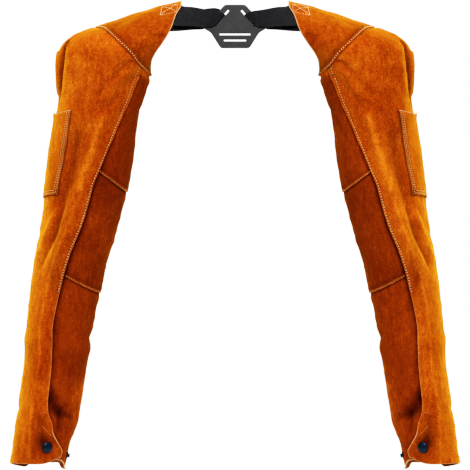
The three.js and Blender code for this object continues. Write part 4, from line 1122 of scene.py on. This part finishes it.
# ---------------------------------------------------------------- straps
STRAP_THICK, STRAP_WIDTH, STRAP_GAP = 1.4, 28.0, 0.8
STRAP_SEWN = [  # section, then top and bottom of the near and of the far layer in degrees
    (0.50, (18, 48), (19, 51)), (0.40, (19, 53), (22, 59)), (0.22, (21, 63), (27, 72)), (0.04, (25, 71), (34, 82)),
]
STRAP_FREE = [  # top and bottom edge of the near layer, then of the far layer
    ([-74.5, -30, -12.8], [-86, -53, -43.8], [-76, -28, -20.0], [-86, -48.0, -50.4]),
    ([-61.7, -43, -15.3], [-63, -56, -45.0], [-62, -39, -20.5], [-63, -51, -49.0]),
    ([-41, -52.5, -20.3], [-47, -56.9, -47.0], [-37, -49.0, -21.0], [-47, -50.0, -48.0]),
]
BUNCHED = [-32, -49.0, -17.4]  # where the far layer of the one strap bunches up above the near one


def strap_span(into, far):
    """The webbing is squeezed where it goes through the slot: where it lies along the slanted edge."""
    k = min(max(into / 9.9, 0.0), 1.0)
    return (13.4 - 2.4 * k - far * (1 - k), 45.2 - 10.4 * k)


def resample(stations, step):
    """Smooth curves through the stations, column by column."""
    st = np.array(stations, float)
    d = np.linalg.norm(np.diff(st, axis=0), axis=-1).mean(1)
    knots = np.concatenate([[0], np.cumsum(np.sqrt(np.maximum(d, 0.05)))])
    t = np.concatenate([np.linspace(a, b, max(2, int(math.ceil(x / step))), endpoint=False) for a, b, x in zip(knots, knots[1:], d)] + [[knots[-1]]])
    k = np.clip(np.searchsorted(knots, t, side="right") - 1, 0, len(knots) - 2)
    slope = np.zeros_like(st)
    slope[1:-1] = (st[2:] - st[:-2]) / (knots[2:] - knots[:-2])[:, None, None]
    slope[0], slope[-1] = (st[1] - st[0]) / (knots[1] - knots[0]), (st[-1] - st[-2]) / (knots[-1] - knots[-2])
    h = (knots[k + 1] - knots[k])
    u = ((t - knots[k]) / h)[:, None, None]
    h = h[:, None, None]
    return (st[k] * (1 + 2 * u) * (1 - u) ** 2 + slope[k] * h * u * (1 - u) ** 2
            + st[k + 1] * u * u * (3 - 2 * u) + slope[k + 1] * h * u * u * (u - 1))


def build_strap(side, flip, bunched):
    across = 18
    t = np.linspace(0, 1, across + 1)
    line = lambda a, b: np.asarray(a, float)[None] + (np.asarray(b, float) - np.asarray(a, float))[None] * t[:, None]

    def sewn(layer, depth):
        out = []
        for s0, *spans in STRAP_SEWN:
            d = spans[layer][0] + (spans[layer][1] - spans[layer][0]) * t
            out.append(skin(np.full(d.shape, s0), d, np.full(d.shape, -(LEATHER + depth)), "cape"))
        return out

    def over(into, y, far=0.0):
        a, b = strap_span(into, far)
        ends = [slant_point(a, into), slant_point(b, into)]
        return line([-ends[0][0], y, ends[0][1]], [-ends[1][0], y, ends[1][1]])
    near_y, far_y = PLATE_FACE - STRAP_GAP - STRAP_THICK / 2, PLATE_FACE + PLATE_THICK + STRAP_GAP + STRAP_THICK / 2
    slot_at = BAR_WIDTH + SLOT_WIDTH - 0.1 - STRAP_THICK / 2
    first = 0.5 + STRAP_THICK / 2
    free = [list(row) for row in STRAP_FREE]
    if bunched:
        free[-1][2] = BUNCHED
    slack = 4.6 if bunched else 0.0
    st = sewn(0, first) + [line(a, b) for a, b, _, _ in free]
    st += [over(1.5, near_y - 0.2), over(slot_at - 2.2, near_y), over(slot_at - 0.4, near_y + 0.7), over(slot_at, near_y + 2.0), over(slot_at, far_y - 2.0),
           over(slot_at - 0.4, far_y - 0.7), over(slot_at - 2.2, far_y, 0.4 * slack), over(1.5, far_y, slack)]
    st += [line(a, b) for _, _, a, b in reversed(free)]
    st += sewn(1, first + STRAP_THICK + 0.5)[::-1]
    mid = resample(st, 1.6)
    along = unit(np.gradient(mid, axis=0))
    wide = unit(np.gradient(mid, axis=1))
    normal = unit(np.cross(along, wide))
    ribs = 0.16 * np.cos(np.linspace(0, 2 * math.pi * 6, across + 1))[None, :, None]
    selvage = 0.10 * gauss((np.minimum(t, 1 - t) * STRAP_WIDTH - 1.2) / 1.0)[None, :, None]
    half = STRAP_THICK / 2 - 0.1
    verts, faces, mark, loop = sheet_mesh(mid + normal * (half + ribs * 0.4 + selvage), mid - normal * (half + ribs * 0.4 + selvage), 0.4)
    run = np.concatenate([np.zeros((1, across + 1)), np.cumsum(np.linalg.norm(np.diff(mid, axis=0), axis=-1), 0)])
    uv = np.stack([np.broadcast_to(t * STRAP_WIDTH, run.shape), run], -1).reshape(-1, 2)
    rim_at = np.array([i * (across + 1) + j for i, j in loop])
    uv = np.concatenate([uv, uv, uv[rim_at]])
    obj = mesh_object(f"{side}_strap_webbing", verts, faces, np.zeros(len(faces)), ["webbing"], uv, None, flip)
    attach(obj, "root")
    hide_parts(f"{side}_strap")


build_strap("left", False, True)
build_strap("right", True, False)

# ---------------------------------------------------------------- stage, light and camera
def build_stage():
    """A round pale floor that fades out at its rim."""
    mesh = bpy.data.meshes.new("floor")
    n, radius = 128, 1.12
    mesh.from_pydata([(radius * math.cos(2 * math.pi * k / n), radius * math.sin(2 * math.pi * k / n), 0) for k in range(n)], [], [tuple(range(n))])
    m, nodes, links, bsdf = new_material("floor_white")
    bsdf.inputs["Base Color"].default_value = (0.9, 0.9, 0.9, 1)
    bsdf.inputs["Roughness"].default_value = 0.9
    bsdf.inputs["Specular IOR Level"].default_value = 0.1
    ball = nodes.new("ShaderNodeTexGradient")
    ball.gradient_type = "SPHERICAL"
    links.new(nodes.new("ShaderNodeTexCoord").outputs["Object"], ball.inputs[0])
    fade = nodes.new("ShaderNodeMapRange")
    fade.interpolation_type = "SMOOTHSTEP"
    fade.inputs["From Min"].default_value, fade.inputs["From Max"].default_value = 0.0, 0.45
    links.new(ball.outputs["Fac"], fade.inputs["Value"])
    links.new(fade.outputs[0], bsdf.inputs["Alpha"])
    mesh.materials.append(m)
    floor = bpy.data.objects.new("floor", mesh)
    floor.location = (0, 0, -0.86)
    bpy.context.scene.collection.objects.link(floor)


build_stage()


def area_light(name, place, target, size, power, colour=(1, 1, 1), spread=180.0):
    light = bpy.data.lights.new(name, "AREA")
    light.shape, light.size, light.energy, light.color = "DISK", size, power, colour
    light.spread = math.radians(spread)
    obj = bpy.data.objects.new(name, light)
    bpy.context.scene.collection.objects.link(obj)
    place, target = np.array(place, float), np.array(target, float)
    z = unit(place - target)
    x = unit(np.cross(np.array([0, 0, 1.0]), z)) if abs(z[2]) < 0.99 else np.array([1.0, 0, 0])
    y = np.cross(z, x)
    from mathutils import Matrix
    obj.matrix_world = Matrix([[x[0], y[0], z[0], place[0]], [x[1], y[1], z[1], place[1]], [x[2], y[2], z[2], place[2]], [0, 0, 0, 1]])
    return obj


def lit_only(light, names):
    """The light falls only on these pieces, as if the two sleeves were lit one by one."""
    group = bpy.data.collections.new(light.name + "_receivers")
    for name in names:
        group.objects.link(bpy.data.objects[name])
    light.light_linking.receiver_collection = group


for side, word in ((-1, "left"), (1, "right")):
    key = area_light(f"key_{word}", (side * 1.75, 0.50, 0.25), (side * 0.27, 0.0, -0.36), 0.6, 22.0)
    lit_only(key, [o.name for o in bpy.data.objects if o.type == "MESH" and "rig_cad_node" not in o and (o.name.startswith(word + "_") or o.name in ("back_plate_moulded", "floor"))])
for side, word in ((-1, "left"), (1, "right")):
    fill = area_light(f"fill_{word}", (-side * 0.75, -1.5, 0.1), (side * 0.2, 0.0, -0.3), 0.8, 7.0)
    lit_only(fill, [o.name for o in bpy.data.objects if o.name.startswith(word + "_inner_") and "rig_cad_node" not in o])
area_light("top", (0.0, -0.35, 1.25), (0.0, 0.0, -0.2), 0.9, 10.0)
area_light("front", (0.0, -2.1, 1.05), (0.0, 0.0, -0.30), 1.1, 42.0)
area_light("rear", (0.0, 2.3, 0.25), (0.0, 0.0, -0.35), 1.2, 22.0)

world = bpy.data.worlds.new("studio")
bpy.context.scene.world = world
world.use_nodes = True
wn, wl = world.node_tree.nodes, world.node_tree.links
wn.clear()
w_out, mixer = wn.new("ShaderNodeOutputWorld"), wn.new("ShaderNodeMixShader")
path_info, seen, soft = wn.new("ShaderNodeLightPath"), wn.new("ShaderNodeBackground"), wn.new("ShaderNodeBackground")
seen.inputs[0].default_value, seen.inputs[1].default_value = (1, 1, 1, 1), 1.0
soft.inputs[0].default_value, soft.inputs[1].default_value = (1, 1, 1, 1), 0.25
wl.new(path_info.outputs["Is Camera Ray"], mixer.inputs[0])
wl.new(soft.outputs[0], mixer.inputs[1])
wl.new(seen.outputs[0], mixer.inputs[2])
wl.new(mixer.outputs[0], w_out.inputs[0])

view = bpy.context.scene.view_settings
view.view_transform = "Standard"
view.look = "None"
view.use_curve_mapping = True
tone = view.curve_mapping.curves[3]
for x in (0.015, 0.04, 0.08, 0.14, 0.22, 0.32, 0.44, 0.58, 0.74, 0.88):  # a photograph's toe and shoulder
    tone.points.new(x, 1.4 * x ** 1.6 / (x ** 1.6 + 0.4))
view.curve_mapping.update()

cam_data = bpy.data.cameras.new("camera")
cam_data.sensor_width, cam_data.lens = 36.0, 132.8
cam_data.clip_end = 50.0
camera = bpy.data.objects.new("camera", cam_data)
camera.location = (0.0, -2.6, -0.351)
camera.rotation_euler = (math.pi / 2, 0, 0)
bpy.context.scene.collection.objects.link(camera)
bpy.context.scene.camera = camera
